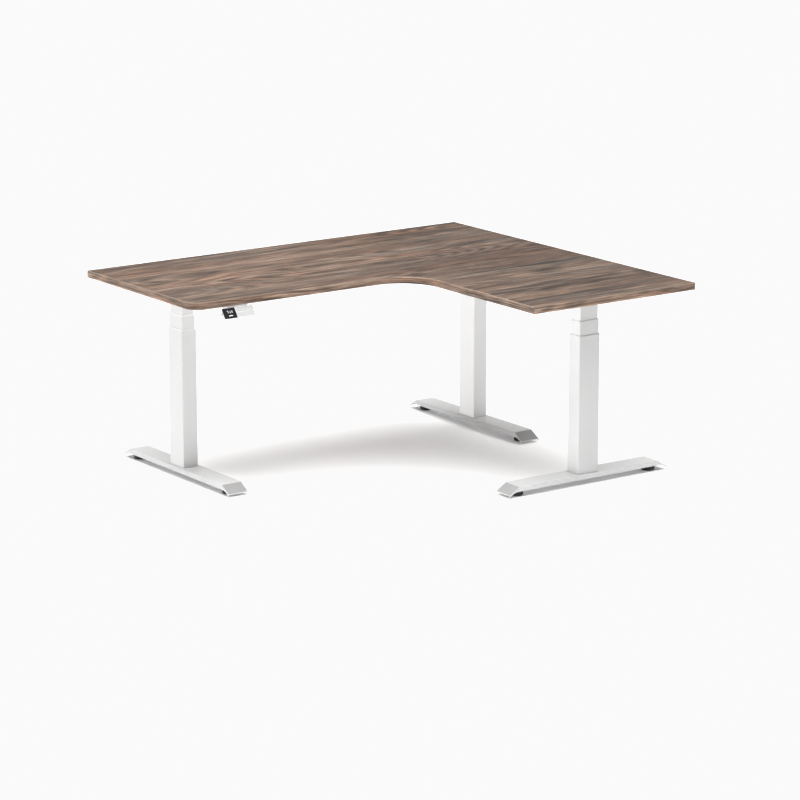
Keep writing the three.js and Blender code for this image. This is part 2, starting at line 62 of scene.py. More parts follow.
MM = 0.001
GAP = 0.3 * MM
LEGS = {"left": 0, "corner": 180, "return": 90}  # each foot's turn about the vertical, in degrees
FRONT_RADIUS = 0.050  # rounded front corner of the top
INNER_RADIUS = 0.150  # hollow curve where the user sits
WALL = 1.5 * MM  # leg tube wall


# ---------------------------------------------------------------- outlines
def arc(x, y, radius, start, end, steps):
    """Points of an arc from one angle to another, in degrees, both ends included."""
    angles = [math.radians(start + (end - start) * step / steps) for step in range(steps + 1)]
    return [(x + radius * math.cos(a), y + radius * math.sin(a)) for a in angles]


def rounded_rectangle(width, depth, radius, steps=6, centre=(0, 0)):
    x, y = width / 2 - radius, depth / 2 - radius
    corners = [(x, y, 0), (-x, y, 90), (-x, -y, 180), (x, -y, 270)]
    points = [p for cx, cy, turn in corners for p in arc(cx, cy, radius, turn, turn + 90, steps)]
    return [(px + centre[0], py + centre[1]) for px, py in points]


def circle(radius, sides, centre=(0, 0), start=0):
    turns = [math.radians(start + 360 * side / sides) for side in range(sides)]
    return [(centre[0] + radius * math.cos(a), centre[1] + radius * math.sin(a)) for a in turns]


# ---------------------------------------------------------------- mesh building
class Build:
    """Collects solids in one mesh. Every solid passes through the current matrix on its way in."""

    def __init__(self, matrix=None):
        self.mesh = bmesh.new()
        self.matrix = matrix or Matrix.Identity(4)

    def at(self, x=0, y=0, z=0, turn=0, axis="Z"):
        """A second Build that shares this mesh and works in a moved and turned frame."""
        other = Build.__new__(Build)
        other.mesh = self.mesh
        other.matrix = self.matrix @ Matrix.Translation((x, y, z)) @ Matrix.Rotation(math.radians(turn), 4, axis)
        return other

    def points(self, places):
        return [self.mesh.verts.new(self.matrix @ Vector(place)) for place in places]

    def bridge(self, one, other, closed=True):
        """Quads between two rows of vertices of the same length."""
        count = len(one)
        for index in range(count if closed else count - 1):
            after = (index + 1) % count
            self.mesh.faces.new((one[index], one[after], other[after], other[index]))

    def prism(self, outline, low, high):
        floor = self.points([(x, y, low) for x, y in outline])
        roof = self.points([(x, y, high) for x, y in outline])
        self.bridge(floor, roof)
        self.mesh.faces.new(roof)
        self.mesh.faces.new(floor[::-1])

    def rings(self, loops):
        """A closed tube of any section: (outline, height) pairs round the section, all with as many points."""
        rows = [self.points([(x, y, z) for x, y in outline]) for outline, z in loops]
        for index, row in enumerate(rows):
            self.bridge(row, rows[(index + 1) % len(rows)])

    def pipe(self, outer, inner, low, high):
        """A prism with a hole: both outlines have the same number of points."""
        self.rings([(outer, low), (outer, high), (inner, high), (inner, low)])

    def turned(self, section, sides=32):
        """A turned piece about the frame's z axis, from [radius, height] pairs going up and round."""
        rows = []
        for radius, height in section:
            if radius == 0:
                rows.append(self.points([(0, 0, height)]))
            else:
                rows.append(self.points([(x, y, height) for x, y in circle(radius, sides)]))
        for one, other in zip(rows, rows[1:]):
            if len(one) > 1 and len(other) > 1:
                self.bridge(one, other)
            elif len(one) > 1 or len(other) > 1:
                self.fan(one, other)

    def fan(self, one, other):
        tip, ring = (one[0], other) if len(one) == 1 else (other[0], one)
        for index, vertex in enumerate(ring):
            self.mesh.faces.new((tip, vertex, ring[(index + 1) % len(ring)]))

    def box(self, x, y, z):
        self.prism([(x[0], y[0]), (x[1], y[0]), (x[1], y[1]), (x[0], y[1])], *z)

    def rounded_box(self, x, y, z, radius, steps=4):
        centre = ((x[0] + x[1]) / 2, (y[0] + y[1]) / 2)
        self.prism(rounded_rectangle(x[1] - x[0], y[1] - y[0], radius, steps, centre), *z)


def finish_piece(name, build, finish, body, replaced=(), bevel=0.0, segments=2, smooth=40, crease=30):
    """Turns a Build into a named piece with its finish, on its body, standing for its CAD nodes."""
    bmesh.ops.recalc_face_normals(build.mesh, faces=build.mesh.faces)
    mesh = bpy.data.meshes.new(name)
    build.mesh.to_mesh(mesh)
    build.mesh.free()
    return dress(name, mesh, finish, body, replaced, bevel, segments, smooth, crease)


def keep_flats_flat(piece):
    """Large faces decide the shading next to small rounded ones."""
    flats = piece.modifiers.new("flat_faces", "WEIGHTED_NORMAL")
    flats.weight = 100
    flats.keep_sharp = True


def dress(name, mesh, finish, body, replaced=(), bevel=0.0, segments=2, smooth=40, crease=30):
    piece = bpy.data.objects.new(name, mesh)
    bpy.context.scene.collection.objects.link(piece)
    material, slot = finish
    mesh.materials.append(material)
    mesh.shade_smooth()
    mesh.set_sharp_from_angle(angle=math.radians(smooth))
    if bevel:
        edges = piece.modifiers.new("soft_edges", "BEVEL")
        edges.width = bevel
        edges.segments = segments
        edges.limit_method = "ANGLE"
        edges.angle_limit = math.radians(crease)
    keep_flats_flat(piece)
    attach(piece, body)
    if replaced:
        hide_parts(*replaced)
    return piece


# ---------------------------------------------------------------- material building
class Finish:
    """A procedural material: a short way to add nodes and join them."""

    def __init__(self, name, colour=(0.8, 0.8, 0.8), roughness=0.5, **sockets):
        self.material = bpy.data.materials.new(name)
        self.material.use_nodes = True
        self.tree = self.material.node_tree
        self.shader = self.tree.nodes["Principled BSDF"]
        self.set(self.shader, Base_Color=(*colour, 1), Roughness=roughness, **sockets)

    @staticmethod
    def set(node, **sockets):
        for name, value in sockets.items():
            node.inputs[name.replace("_", " ")].default_value = value

    def node(self, kind, links=None, settings=None, **sockets):
        node = self.tree.nodes.new(kind)
        for name, value in (settings or {}).items():
            setattr(node, name, value)
        self.set(node, **sockets)
        for name, source in (links or {}).items():
            self.tree.links.new(source, node.inputs[name])
        return node

    def link(self, source, name):
        self.tree.links.new(source, self.shader.inputs[name])

    def math(self, operation, *values):
        node = self.node("ShaderNodeMath", settings={"operation": operation})
        for index, value in enumerate(values):
            if isinstance(value, (int, float)):
                node.inputs[index].default_value = value
            else:
                self.tree.links.new(value, node.inputs[index])
        return node.outputs[0]

    def place(self):
        return self.node("ShaderNodeTexCoord").outputs["Object"]

    def noise(self, vector, scale, detail=2.0, roughness=0.5):
        node = self.node("ShaderNodeTexNoise", {"Vector": vector}, Scale=scale, Detail=detail, Roughness=roughness)
        return node.outputs["Fac"]

    def ramp(self, value, *stops):
        """A colour ramp through (position, colour) stops; a colour may be one grey number."""
        node = self.node("ShaderNodeValToRGB", {"Fac": value})
        band = node.color_ramp
        while len(band.elements) < len(stops):
            band.elements.new(0.5)
        for element, (position, colour) in zip(band.elements, stops):
            element.position = position
            rgb = (colour,) * 3 if isinstance(colour, (int, float)) else colour
            element.color = (*rgb, 1)
        return node.outputs["Color"]

    def mix(self, factor, one, other, blend="MIX"):
        node = self.node("ShaderNodeMix", settings={"data_type": "RGBA", "blend_type": blend})
        for index, value in ((0, factor), (6, one), (7, other)):
            if isinstance(value, (int, float)):
                node.inputs[index].default_value = value
            elif isinstance(value, tuple):
                node.inputs[index].default_value = (*value, 1)
            else:
                self.tree.links.new(value, node.inputs[index])
        return node.outputs[2]

    def bump(self, height, distance, strength=1.0, below=None):
        node = self.node("ShaderNodeBump", {"Height": height}, Strength=strength, Distance=distance)
        if below:
            self.tree.links.new(below, node.inputs["Normal"])
        return node.outputs["Normal"]


def speckled(name, slot, colour, roughness, grain, distance, spread=0.06, **sockets):
    """A painted, moulded or rubber surface: fine bumps, and colour and gloss that vary a little."""
    finish = Finish(name, colour, roughness, **sockets)
    place = finish.place()
    broad = finish.noise(place, 9, 3)
    low, high = [tuple(min(1.0, c * share) for c in colour) for share in (1 - spread, 1 + spread / 2)]
    finish.link(finish.ramp(broad, (0.3, low), (0.7, high)), "Base Color")
    gloss = finish.node("ShaderNodeMapRange", {"Value": finish.noise(place, 60, 2)})
    finish.set(gloss, To_Min=max(0.02, roughness - 0.05), To_Max=roughness + 0.05)
    finish.link(gloss.outputs["Result"], "Roughness")
    finish.link(finish.bump(finish.noise(place, grain, 2), distance), "Normal")
    return finish.material, slot


def wood_grain(finish, place, tone=1.0):
    """Wood decor from a place in metres: grain runs along its first axis, figure shows across the second."""
    parts = finish.node("ShaderNodeSeparateXYZ", {"Vector": place})
    along, across = parts.outputs["X"], parts.outputs["Y"]

    def stretched(x_scale, y_scale, seed, y=None):
        x = finish.math("MULTIPLY", along, x_scale)
        scaled = finish.math("MULTIPLY", y or across, y_scale)
        return finish.node("ShaderNodeCombineXYZ", {"X": x, "Y": scaled}, Z=seed).outputs["Vector"]

    wander = finish.math("SUBTRACT", finish.noise(stretched(1.3, 3.2, 0.4), 1, 2), 0.5)
    ripple = finish.math("SUBTRACT", finish.noise(stretched(6.5, 22, 5.1), 1, 2), 0.5)
    drift = finish.math("ADD", finish.math("MULTIPLY", wander, 0.06), finish.math("MULTIPLY", ripple, 0.010))
    line = finish.math("ADD", across, drift)

    def weighed(amount, x_scale, y_scale, seed, detail=3.0, roughness=0.5):
        noise = finish.noise(stretched(x_scale, y_scale, seed, line), 1, detail, roughness)
        return finish.math("MULTIPLY", finish.math("SUBTRACT", noise, 0.5), amount)

    layers = [
        weighed(0.45, 0.6, 9, 1.7),
        weighed(0.62, 1.5, 34, 8.3, 4, 0.6),
        weighed(0.50, 2.6, 70, 3.9, 3, 0.6),
        weighed(0.80, 5, 150, 2.6, 3, 0.6),
        weighed(0.85, 12, 330, 5.5, 2),
    ]
    value = 0.5
    for layer in layers:
        value = finish.math("ADD", value, layer)

    hills = finish.noise(stretched(1.0, 4.6, 9.4, line), 1, 1, 0.4)
    contour = finish.math("SINE", finish.math("MULTIPLY", hills, 2 * math.pi * 22))
    shown = finish.ramp(finish.noise(stretched(1.2, 5, 4.4), 1, 1), (0.42, 0.0), (0.58, 1.0))
    rings = finish.math("MULTIPLY", finish.math("MULTIPLY", contour, shown), 0.11)
    value = finish.math("ADD", value, rings)

    def shade(rgb):
        return tuple(channel * tone for channel in rgb)

    colour = finish.ramp(
        value,
        (0.16, shade((0.038, 0.029, 0.024))),
        (0.34, shade((0.096, 0.068, 0.053))),
        (0.50, shade((0.190, 0.129, 0.095))),
        (0.66, shade((0.290, 0.196, 0.142))),
        (0.88, shade((0.500, 0.352, 0.255))),
    )
    cool = finish.ramp(finish.noise(stretched(0.9, 14, 6.6, line), 1, 3), (0.44, 0.0), (0.60, 0.85))
    colour = finish.mix(cool, colour, finish.mix(1.0, colour, (0.86, 0.97, 1.05), "MULTIPLY"))
    warm = finish.ramp(finish.noise(stretched(1.3, 22, 7.8, line), 1, 3), (0.50, 0.0), (0.64, 0.9))
    colour = finish.mix(warm, colour, finish.mix(1.0, colour, (1.20, 0.98, 0.88), "MULTIPLY"))
    # Painted light: the decor darkens along its first axis, from 1.05 at -0.3 m to 0.70 at 0.5 m, standing in for
    # light that falls off from the left.
    painted_light_falloff = finish.node("ShaderNodeMapRange", {"Value": along}, {"interpolation_type": "SMOOTHSTEP"})
    finish.set(painted_light_falloff, From_Min=-0.3, From_Max=0.5, To_Min=1.05, To_Max=0.70)
    colour = finish.mix(1.0, colour, finish.ramp(painted_light_falloff.outputs["Result"], (0, 0.0), (1, 1.0)), "MULTIPLY")
    streaks = finish.noise(stretched(6, 260, 3.3, line), 1, 1)
    colour = finish.mix(1.0, colour, finish.ramp(streaks, (0.33, 0.62), (0.41, 1.0)), "MULTIPLY")
    pores = finish.noise(stretched(26, 800, 6.2, line), 1, 1)
    colour = finish.mix(1.0, colour, finish.ramp(pores, (0.30, 0.62), (0.43, 1.0)), "MULTIPLY")
    fine = finish.noise(stretched(20, 420, 5.5, line), 1, 2)
    relief = finish.math("ADD", finish.math("MULTIPLY", fine, 0.6), finish.math("MULTIPLY", pores, 0.4))
    return colour, relief


def wood_decor():
    finish = Finish("wood_decor", roughness=0.5, Specular_IOR_Level=0.12)
    colour, relief = wood_grain(finish, finish.place(), 0.93)
    finish.link(colour, "Base Color")
    gloss = finish.node("ShaderNodeMapRange", {"Value": relief}, To_Min=0.42, To_Max=0.60)
    finish.link(gloss.outputs["Result"], "Roughness")
    finish.link(finish.bump(relief, 0.00008), "Normal")
    return finish.material, "wood_decor"


def edge_band():
    """The same decor on the band, painted lighter for the light its upright faces catch, with the grain along the
    band's own length, and a painted highlight along its upper arris.
    """
    finish = Finish("edge_band", roughness=0.45, Specular_IOR_Level=0.2)
    run = finish.node("ShaderNodeUVMap", settings={"uv_map": "along_band"}).outputs["UV"]
    # Painted light: tone 1.80 against the top's 0.93 makes the band's upright faces as light as the top, standing in
    # for the light they catch.
    colour, relief = wood_grain(finish, run, 1.80)
    height = finish.node("ShaderNodeSeparateXYZ", {"Vector": run}).outputs["Y"]
    # Painted highlight: a paler line along the top of the band, where light catches its upper arris.
    arris = finish.ramp(height, (0.0226, 0.0), (0.0236, 0.40))
    colour = finish.mix(arris, colour, (0.55, 0.44, 0.35))
    finish.link(colour, "Base Color")
    finish.link(finish.bump(relief, 0.00006), "Normal")
    return finish.material, "edge_band"


def turned_steel(name, pitch, colour):
    """Steel with the turned thread of a lift screw: fine bands up the axis."""
    finish = Finish(name, colour, 0.35, Metallic=1.0)
    place = finish.place()
    wave = finish.node(
        "ShaderNodeTexWave",
        {"Vector": place},
        {"wave_type": "BANDS", "bands_direction": "Z", "wave_profile": "TRI"},
        Scale=1 / (2 * pitch) / math.pi,
    )
    finish.link(finish.bump(wave.outputs["Fac"], 0.0008), "Normal")
    dirt = finish.noise(place, 40, 3)
    low, high = [tuple(c * share for c in colour) for share in (0.7, 1.05)]
    finish.link(finish.ramp(dirt, (0.35, low), (0.65, high)), "Base Color")
    finish.link(finish.ramp(dirt, (0.3, 0.28), (0.7, 0.45)), "Roughness")
    return finish.material, "screw_steel"


def lit(name, strength):
    """Digits of the readout: white light with a faintly uneven glow."""
    finish = Finish(name, (0.9, 0.9, 0.9), 0.5, Emission_Strength=strength)
    glow = finish.ramp(finish.noise(finish.place(), 900, 1), (0.3, 0.85), (0.7, 1.0))
    finish.link(glow, "Emission Color")
    return finish.material, None


def display_window():
    finish = Finish("display_window", (0.018, 0.018, 0.020), 0.12, Coat_Weight=1.0, Coat_Roughness=0.04)
    place = finish.place()
    smudge = finish.noise(place, 120, 3, 0.6)
    finish.link(finish.ramp(smudge, (0.35, (0.014, 0.014, 0.016)), (0.7, (0.026, 0.026, 0.029))), "Base Color")
    finish.link(finish.ramp(smudge, (0.3, 0.10), (0.7, 0.22)), "Roughness")
    return finish.material, "display_window"


WOOD = wood_decor()
BAND = edge_band()
PAINT = speckled("powder_coat", "powder_coat", (0.65, 0.65, 0.65), 0.16, 1500, 0.00002, 0.012)
# Painted shade: a darker copy of the powder coat for the plates on the feet's sloping ends.
END_SHADE_PAINT = speckled("end_plate_paint", "powder_coat", (0.41, 0.41, 0.41), 0.30, 1500, 0.00002, 0.02)
COLLAR = speckled("collar_plastic", "collar_plastic", (0.85, 0.85, 0.85), 0.35, 2500, 0.00002, 0.02)
RUBBER = speckled("black_rubber", "black_rubber", (0.012, 0.012, 0.012), 0.55, 900, 0.00010, 0.25)
MOTOR = speckled("black_metal", "black_metal", (0.025, 0.025, 0.027), 0.38, 1200, 0.00003, 0.15)
PLASTIC = speckled("black_plastic", "black_plastic", (0.022, 0.022, 0.023), 0.48, 1800, 0.00005, 0.15)
JACKET = speckled("cable_jacket", "cable_jacket", (0.016, 0.016, 0.016), 0.42, 700, 0.00004, 0.2)
HOUSING = speckled("white_plastic", "white_plastic", (0.76, 0.76, 0.76), 0.32, 2500, 0.00002, 0.02)
KEY = speckled("key_plastic", "key_plastic", (0.52, 0.52, 0.52), 0.36, 2500, 0.00002, 0.02)
NUB = speckled("grey_plastic", "key_plastic", (0.22, 0.22, 0.225), 0.45, 2500, 0.00002, 0.05)
ZINC = speckled("zinc_screw", "screw_steel", (0.55, 0.55, 0.56), 0.3, 600, 0.00002, 0.12, Metallic=1.0)
CONTACT = speckled("brass_contact", "screw_steel", (0.55, 0.40, 0.18), 0.3, 600, 0.00001, 0.1, Metallic=1.0)
THREAD = turned_steel("lift_thread", 4 * MM, (0.42, 0.42, 0.43))
GLASS = display_window()
DIGIT = lit("readout_light", 1.0)
LED = lit("status_light", 2.0)


# ---------------------------------------------------------------- the top
panel_low, panel_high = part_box("desktop_panel")
back_low, back_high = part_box("edge_band_back")
right_low, right_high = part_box("edge_band_right")
end_low, end_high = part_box("edge_band_end")
front_low, front_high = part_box("edge_band_front")
UNDER, UPPER = panel_low.z, panel_high.z
LEFT, RIGHT = back_low.x, back_high.x
BACK, END = back_high.y, end_low.y
INNER = end_low.x  # inner edge of the return
BAND_THICK = back_high.y - back_low.y
FRONT = BACK - (RIGHT - INNER)  # the long side is as deep as the return is wide
INSET = BAND_THICK + GAP


def free_edge(inset, steps=24):
    """The free edge from the left side round the front corner, along the front and round to the return."""
    corner = arc(LEFT + FRONT_RADIUS, FRONT + FRONT_RADIUS, FRONT_RADIUS - inset, 180, 270, steps // 2)
    hollow = arc(INNER - INNER_RADIUS, FRONT - INNER_RADIUS, INNER_RADIUS + inset, 90, 0, steps)
    return corner + hollow


def make_board():
    start, stop = [(LEFT + INSET, BACK - INSET)], [(INNER + INSET, END + INSET)]
    corners = [(RIGHT - INSET, END + INSET), (RIGHT - INSET, BACK - INSET)]
    build = Build()
    build.prism(start + free_edge(INSET) + stop + corners, UNDER, UPPER)
    finish_piece("desktop_board", build, WOOD, "top_frame", ["desktop_panel"], bevel=0.25 * MM, segments=1)


def outward(path):
    """The direction out of the top at each point of a path that keeps the top on its left."""
    normals = []
    for index in range(len(path)):
        before, after = path[max(index - 1, 0)], path[min(index + 1, len(path) - 1)]
        run = Vector((after[0] - before[0], after[1] - before[1])).normalized()
        normals.append(Vector((run.y, -run.x)))
    return normals


def make_band(name, node, path):
    """Edge band along a path of its outer face: 2 mm thick, with a rounded arris above and below."""
    arris = 1.2 * MM
    thick, height = BAND_THICK, UPPER - UNDER
    above = [(-arris + x, height - arris + y) for x, y in arc(0, 0, arris, 0, 90, 4)]
    below = [(-arris + x, arris + y) for x, y in arc(0, 0, arris, 270, 360, 4)]
    section = [(-thick, 0)] + below + above + [(-thick, height)]
    build = Build()
    uv = build.mesh.loops.layers.uv.new("along_band")
    rows, run, lengths = [], 0.0, []
    for index, (place, out) in enumerate(zip(path, outward(path))):
        if index:
            run += math.dist(place, path[index - 1])
        lengths.append(run)
        rows.append(build.points([(place[0] + out.x * d, place[1] + out.y * d, UNDER + z) for d, z in section]))
    reach = {vertex: (lengths[i], section[j][1]) for i, row in enumerate(rows) for j, vertex in enumerate(row)}
    for one, other in zip(rows, rows[1:]):
        build.bridge(one, other)
    build.mesh.faces.new(rows[0])
    build.mesh.faces.new(rows[-1][::-1])
    for face in build.mesh.faces:
        for loop in face.loops:
            loop[uv].uv = reach[loop.vert]
    finish_piece(name, build, BAND, "top_frame", [node])


def make_bands():
    front = [(LEFT, back_low.y - GAP)] + free_edge(0) + [(INNER, end_high.y + GAP)]
    make_band("front_edge_band", "edge_band_front", front)
    make_band("back_edge_band", "edge_band_back", [(RIGHT, BACK), (LEFT, BACK)])
    make_band("right_edge_band", "edge_band_right", [(RIGHT, END), (RIGHT, right_high.y)])
    make_band("end_edge_band", "edge_band_end", [(INNER, END), (end_high.x, END)])


# ---------------------------------------------------------------- small fixings
def add_screw(build, radius, up=1):
    """A pan head with a hexagon socket, its seat at the frame's origin, its head standing in +z or -z."""
    top = build.at(turn=0 if up > 0 else 180, axis="X")
    height = 0.62 * radius
    dome = [(radius * math.cos(a), height * math.sin(a)) for a in [math.radians(d) for d in (0, 25, 50, 68)]]
    socket = [(0.46 * radius, dome[-1][1] + 0.02 * radius), (0.42 * radius, 0.35 * height), (0, 0.3 * height)]
    top.turned([(0, 0), (radius, 0)] + dome[1:] + socket, 12)


def add_bolt(build, radius, height):
    """A hexagon head on its washer, standing in +z."""
    build.prism(circle(radius * 1.25, 24), 0, 0.18 * height)
    build.prism(circle(radius, 6), 0.18 * height, height)


# ---------------------------------------------------------------- legs
def leg_matrix(leg):
    low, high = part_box(f"{leg}_outer_tube")
    centre = (low + high) / 2
    turn = Matrix.Rotation(math.radians(LEGS[leg]), 4, "Z")
    return Matrix.Translation((centre.x, centre.y, 0)) @ turn


def span(node):
    """Lowest and highest z of a node."""
    low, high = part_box(node)
    return low.z, high.z


foot_low, foot_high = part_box("left_foot")
FOOT_HALF_WIDTH = (foot_high.x - foot_low.x) / 2
FOOT_TIP = (foot_high.y - foot_low.y) / 2
FOOT_TOP = foot_high.z
FOOT_BEND = FOOT_TIP - 0.043  # where the flat top turns down to the tip
FOOT_LIP = 0.012  # height of the tip's upper edge
FOOT_SHEET = 3 * MM
FOOT_WALL_LOW = FOOT_TOP - 0.0175  # lower edge of the side walls
SLOPE = math.atan2(FOOT_TOP - FOOT_LIP, FOOT_TIP - FOOT_BEND)


def curve_through(start, control, end, steps):
    """A quadratic curve as (u, v) points, both ends included."""
    shares = [step / steps for step in range(steps + 1)]
    return [
        tuple((1 - t) ** 2 * a + 2 * t * (1 - t) * b + t * t * c for a, b, c in zip(start, control, end))
        for t in shares
    ]


def height_on(points, y):
    """Height of a profile of (y, z) points, sorted by y, at one y."""
    for (y0, z0), (y1, z1) in zip(points, points[1:]):
        if y0 <= y <= y1:
            return z0 + (z1 - z0) * (y - y0) / max(y1 - y0, 1e-9)
    return points[-1][1]


def folded_sheet(build, roof, edge, half_width, radius):
    """A channel open below, as one folded sheet. roof and edge are (y, z) profiles of its top and its lower edges."""
    stations = sorted({round(y, 7) for y, _ in roof + edge})
    rows = []
    for y in stations:
        top, low = height_on(roof, y), height_on(edge, y)
        bend = arc(half_width - radius, top - radius, radius, 0, 90, 5)
        right = [(half_width, low)] + bend
        left = [(-x, z) for x, z in reversed(right)]
        rows.append(build.points([(x, y, z) for x, z in right + left]))
    for one, other in zip(rows, rows[1:]):
        build.bridge(one, other, closed=False)


def make_folded(name, build, thickness, finish, body, replaced, bevel):
    """Gives a folded sheet its thickness, inwards, and softens its cut edges."""
    bmesh.ops.recalc_face_normals(build.mesh, faces=build.mesh.faces)
    highest = max(build.mesh.faces, key=lambda face: face.calc_center_median().z)
    if highest.normal.z < 0:
        bmesh.ops.reverse_faces(build.mesh, faces=build.mesh.faces)
    mesh = bpy.data.meshes.new(name)
    build.mesh.to_mesh(mesh)
    build.mesh.free()
    piece = dress(name, mesh, finish, body, replaced, smooth=25)
    sheet = piece.modifiers.new("sheet", "SOLIDIFY")
    sheet.thickness = thickness
    sheet.offset = -1
    sheet.use_even_offset = True
    edges = piece.modifiers.new("soft_edges", "BEVEL")
    edges.width = bevel
    edges.segments = 2
    edges.limit_method = "ANGLE"
    edges.angle_limit = math.radians(60)
    piece.modifiers.remove(piece.modifiers["flat_faces"])
    keep_flats_flat(piece)
    return piece


def foot_profiles():
    """The foot from the side: its top line, and the lower edge of its walls rounding into the slope."""
    bend = [(FOOT_BEND + 0.002, FOOT_TOP - 0.002 * math.tan(SLOPE))]
    roof = curve_through((FOOT_BEND - 0.003, FOOT_TOP), (FOOT_BEND, FOOT_TOP), bend[0], 4) + [(FOOT_TIP, FOOT_LIP)]
    rim = 5 * MM / math.cos(SLOPE)
    corner = FOOT_TIP - (FOOT_WALL_LOW - FOOT_LIP + rim) / math.tan(SLOPE)
    round_off = 12 * MM
    near = (corner + round_off * math.cos(SLOPE), FOOT_WALL_LOW - round_off * math.sin(SLOPE))
    edge = curve_through((corner - round_off, FOOT_WALL_LOW), (corner, FOOT_WALL_LOW), near, 8)
    edge += [(FOOT_TIP, FOOT_LIP - rim)]

    def both_ways(points):
        return [(-y, z) for y, z in reversed(points)] + points

    return both_ways(roof), both_ways(edge)


def make_foot(leg):
    matrix, body = leg_matrix(leg), f"{leg}_base"
    build = Build(matrix)
    roof, edge = foot_profiles()
    folded_sheet(build, roof, edge, FOOT_HALF_WIDTH, 2.2 * MM)
    make_folded(f"{leg}_foot_channel", build, FOOT_SHEET, PAINT, body, [f"{leg}_foot"], 0.5 * MM)

    low = span(f"{leg}_glide_a")[1] - 14.4 * MM  # the nut ends just above the glide's pad
    nuts = Build(matrix)
    for end in (-1, 1):
        nuts.at(y=end * GLIDE_OFFSET).pipe(circle(9 * MM, 24), circle(4.3 * MM, 24), low + GLIDE_CLEAR, FOOT_TOP - FOOT_SHEET)
    finish_piece(f"{leg}_foot_nuts", nuts, ZINC, body, bevel=0.4 * MM)

    bolts = Build(matrix)
    for x in (-0.017, 0.017):
        for y in (-0.031, 0.031):
            add_bolt(bolts.at(x, y, FOOT_TOP - FOOT_SHEET, 180, "X"), 5.5 * MM, 6 * MM)
    finish_piece(f"{leg}_foot_bolts", bolts, ZINC, body, bevel=0.3 * MM)
    make_end_plates(leg, matrix, body)


def make_end_plates(leg, matrix, body):
    """Plates let into both sloping ends, a little inside the sheet's edge, in a darker copy of the powder coat:
    painted shade on the sloping ends.
    """
    build = Build(matrix)
    length = math.hypot(FOOT_TIP - FOOT_BEND, FOOT_TOP - FOOT_LIP)
    margin, proud = 1.6 * MM, 0.35 * MM
    for turn in (0, 180):
        slope = build.at(turn=turn).at(0, FOOT_BEND, FOOT_TOP).at(turn=-math.degrees(SLOPE), axis="X")
        width = 2 * (FOOT_HALF_WIDTH - margin)
        outline = rounded_rectangle(width, length - 2 * margin, 1.0 * MM, 3, (0, length / 2))
        slope.prism(outline, -0.6 * MM, proud)
    finish_piece(f"{leg}_foot_end_plates", build, END_SHADE_PAINT, body, bevel=0.2 * MM, segments=1)


glide_low, glide_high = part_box("left_glide_b")
GLIDE_RADIUS = (glide_high.x - glide_low.x) / 2
GLIDE_OFFSET = (glide_low.y + glide_high.y) / 2 - (foot_low.y + foot_high.y) / 2
GLIDE_PAD = 0.020  # height of the pad
GLIDE_CLEAR = 1 * MM


def make_glide(leg, letter, end):
    """A round foot: a rubber pad with a rolled lower rim and a grooved side, on a threaded stud."""
    radius, pad = GLIDE_RADIUS, GLIDE_PAD
    rim = [(radius - 0.006 + r, 0.006 + z) for r, z in arc(0, 0, 0.006, -90, 0, 6)]
    groove = [(radius, 0.0115), (radius - 0.0008, 0.012), (radius - 0.0008, 0.0128), (radius, 0.0133)]
    shoulder = [(radius - 0.0015 + r, pad - 0.0015 + z) for r, z in arc(0, 0, 0.0015, 0, 90, 3)]
    dish = [(0.015, pad), (0.0142, pad - 0.0012), (0.0078, pad - 0.0012), (0.0072, pad), (0, pad)]
    build = Build(leg_matrix(leg)).at(y=end * GLIDE_OFFSET)
    build.turned([(0, 0), (radius - 0.010, 0)] + rim + groove + shoulder + dish, 48)
    name = f"{leg}_glide_{letter}"
    finish_piece(f"{leg}_glide_pad_{letter}", build, RUBBER, name, [name])

    stud = Build(leg_matrix(leg)).at(y=end * GLIDE_OFFSET)
    top, pitch = span(name)[1], 1.25 * MM
    crests = int((top - pad) / pitch)
    thread = [
        (3.9 * MM if half % 2 else 3.3 * MM, pad + pitch * (half / 2)) for half in range(2 * crests + 1)
    ]
    stud.turned([(0, pad - 0.001), (3.3 * MM, pad - 0.001)] + thread[1:] + [(0, top)], 20)
    finish_piece(f"{leg}_glide_stud_{letter}", stud, ZINC, name)


def tube_outline(size, radius, margin=0.0):
    return rounded_rectangle(size[0] + 2 * margin, size[1] + 2 * margin, radius + margin, 8)


def stage_size(stage):
    """Width across the foot and depth along it of one stage's tube, from the left leg."""
    low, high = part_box(f"left_{stage}")
    return high.x - low.x, high.y - low.y


OUTER, MIDDLE, SLIM = stage_size("outer_tube"), stage_size("middle_tube"), stage_size("slim_tube")
OUTER_RADIUS, MIDDLE_RADIUS, SLIM_RADIUS = 3.5 * MM, 3.0 * MM, 2.5 * MM
RUNNING = 0.4 * MM


def make_tube(leg, stage, size, radius, body):
    """One telescopic stage: a thin square tube with softly pressed corners, closed by a plate at its foot."""
    low, high = span(f"{leg}_{stage}")
    if stage == "outer_tube":
        low = FOOT_TOP
    build = Build(leg_matrix(leg))
    build.pipe(tube_outline(size, radius), tube_outline(size, radius, -WALL), low, high)
    bore = 0.5 * MM if stage == "outer_tube" else 6 * MM
    if stage == "slim_tube":
        bore = 13.4 * MM
    inner = tube_outline(size, radius, -WALL / 2)
    hole = circle(bore, len(inner))
    turned_hole = hole[:]
    build.pipe(inner, turned_hole, low + 0.2 * MM, low + 4 * MM)
    finish_piece(f"{leg}_{stage}_shell", build, PAINT, body, [f"{leg}_{stage}"], bevel=0.35 * MM, crease=50)


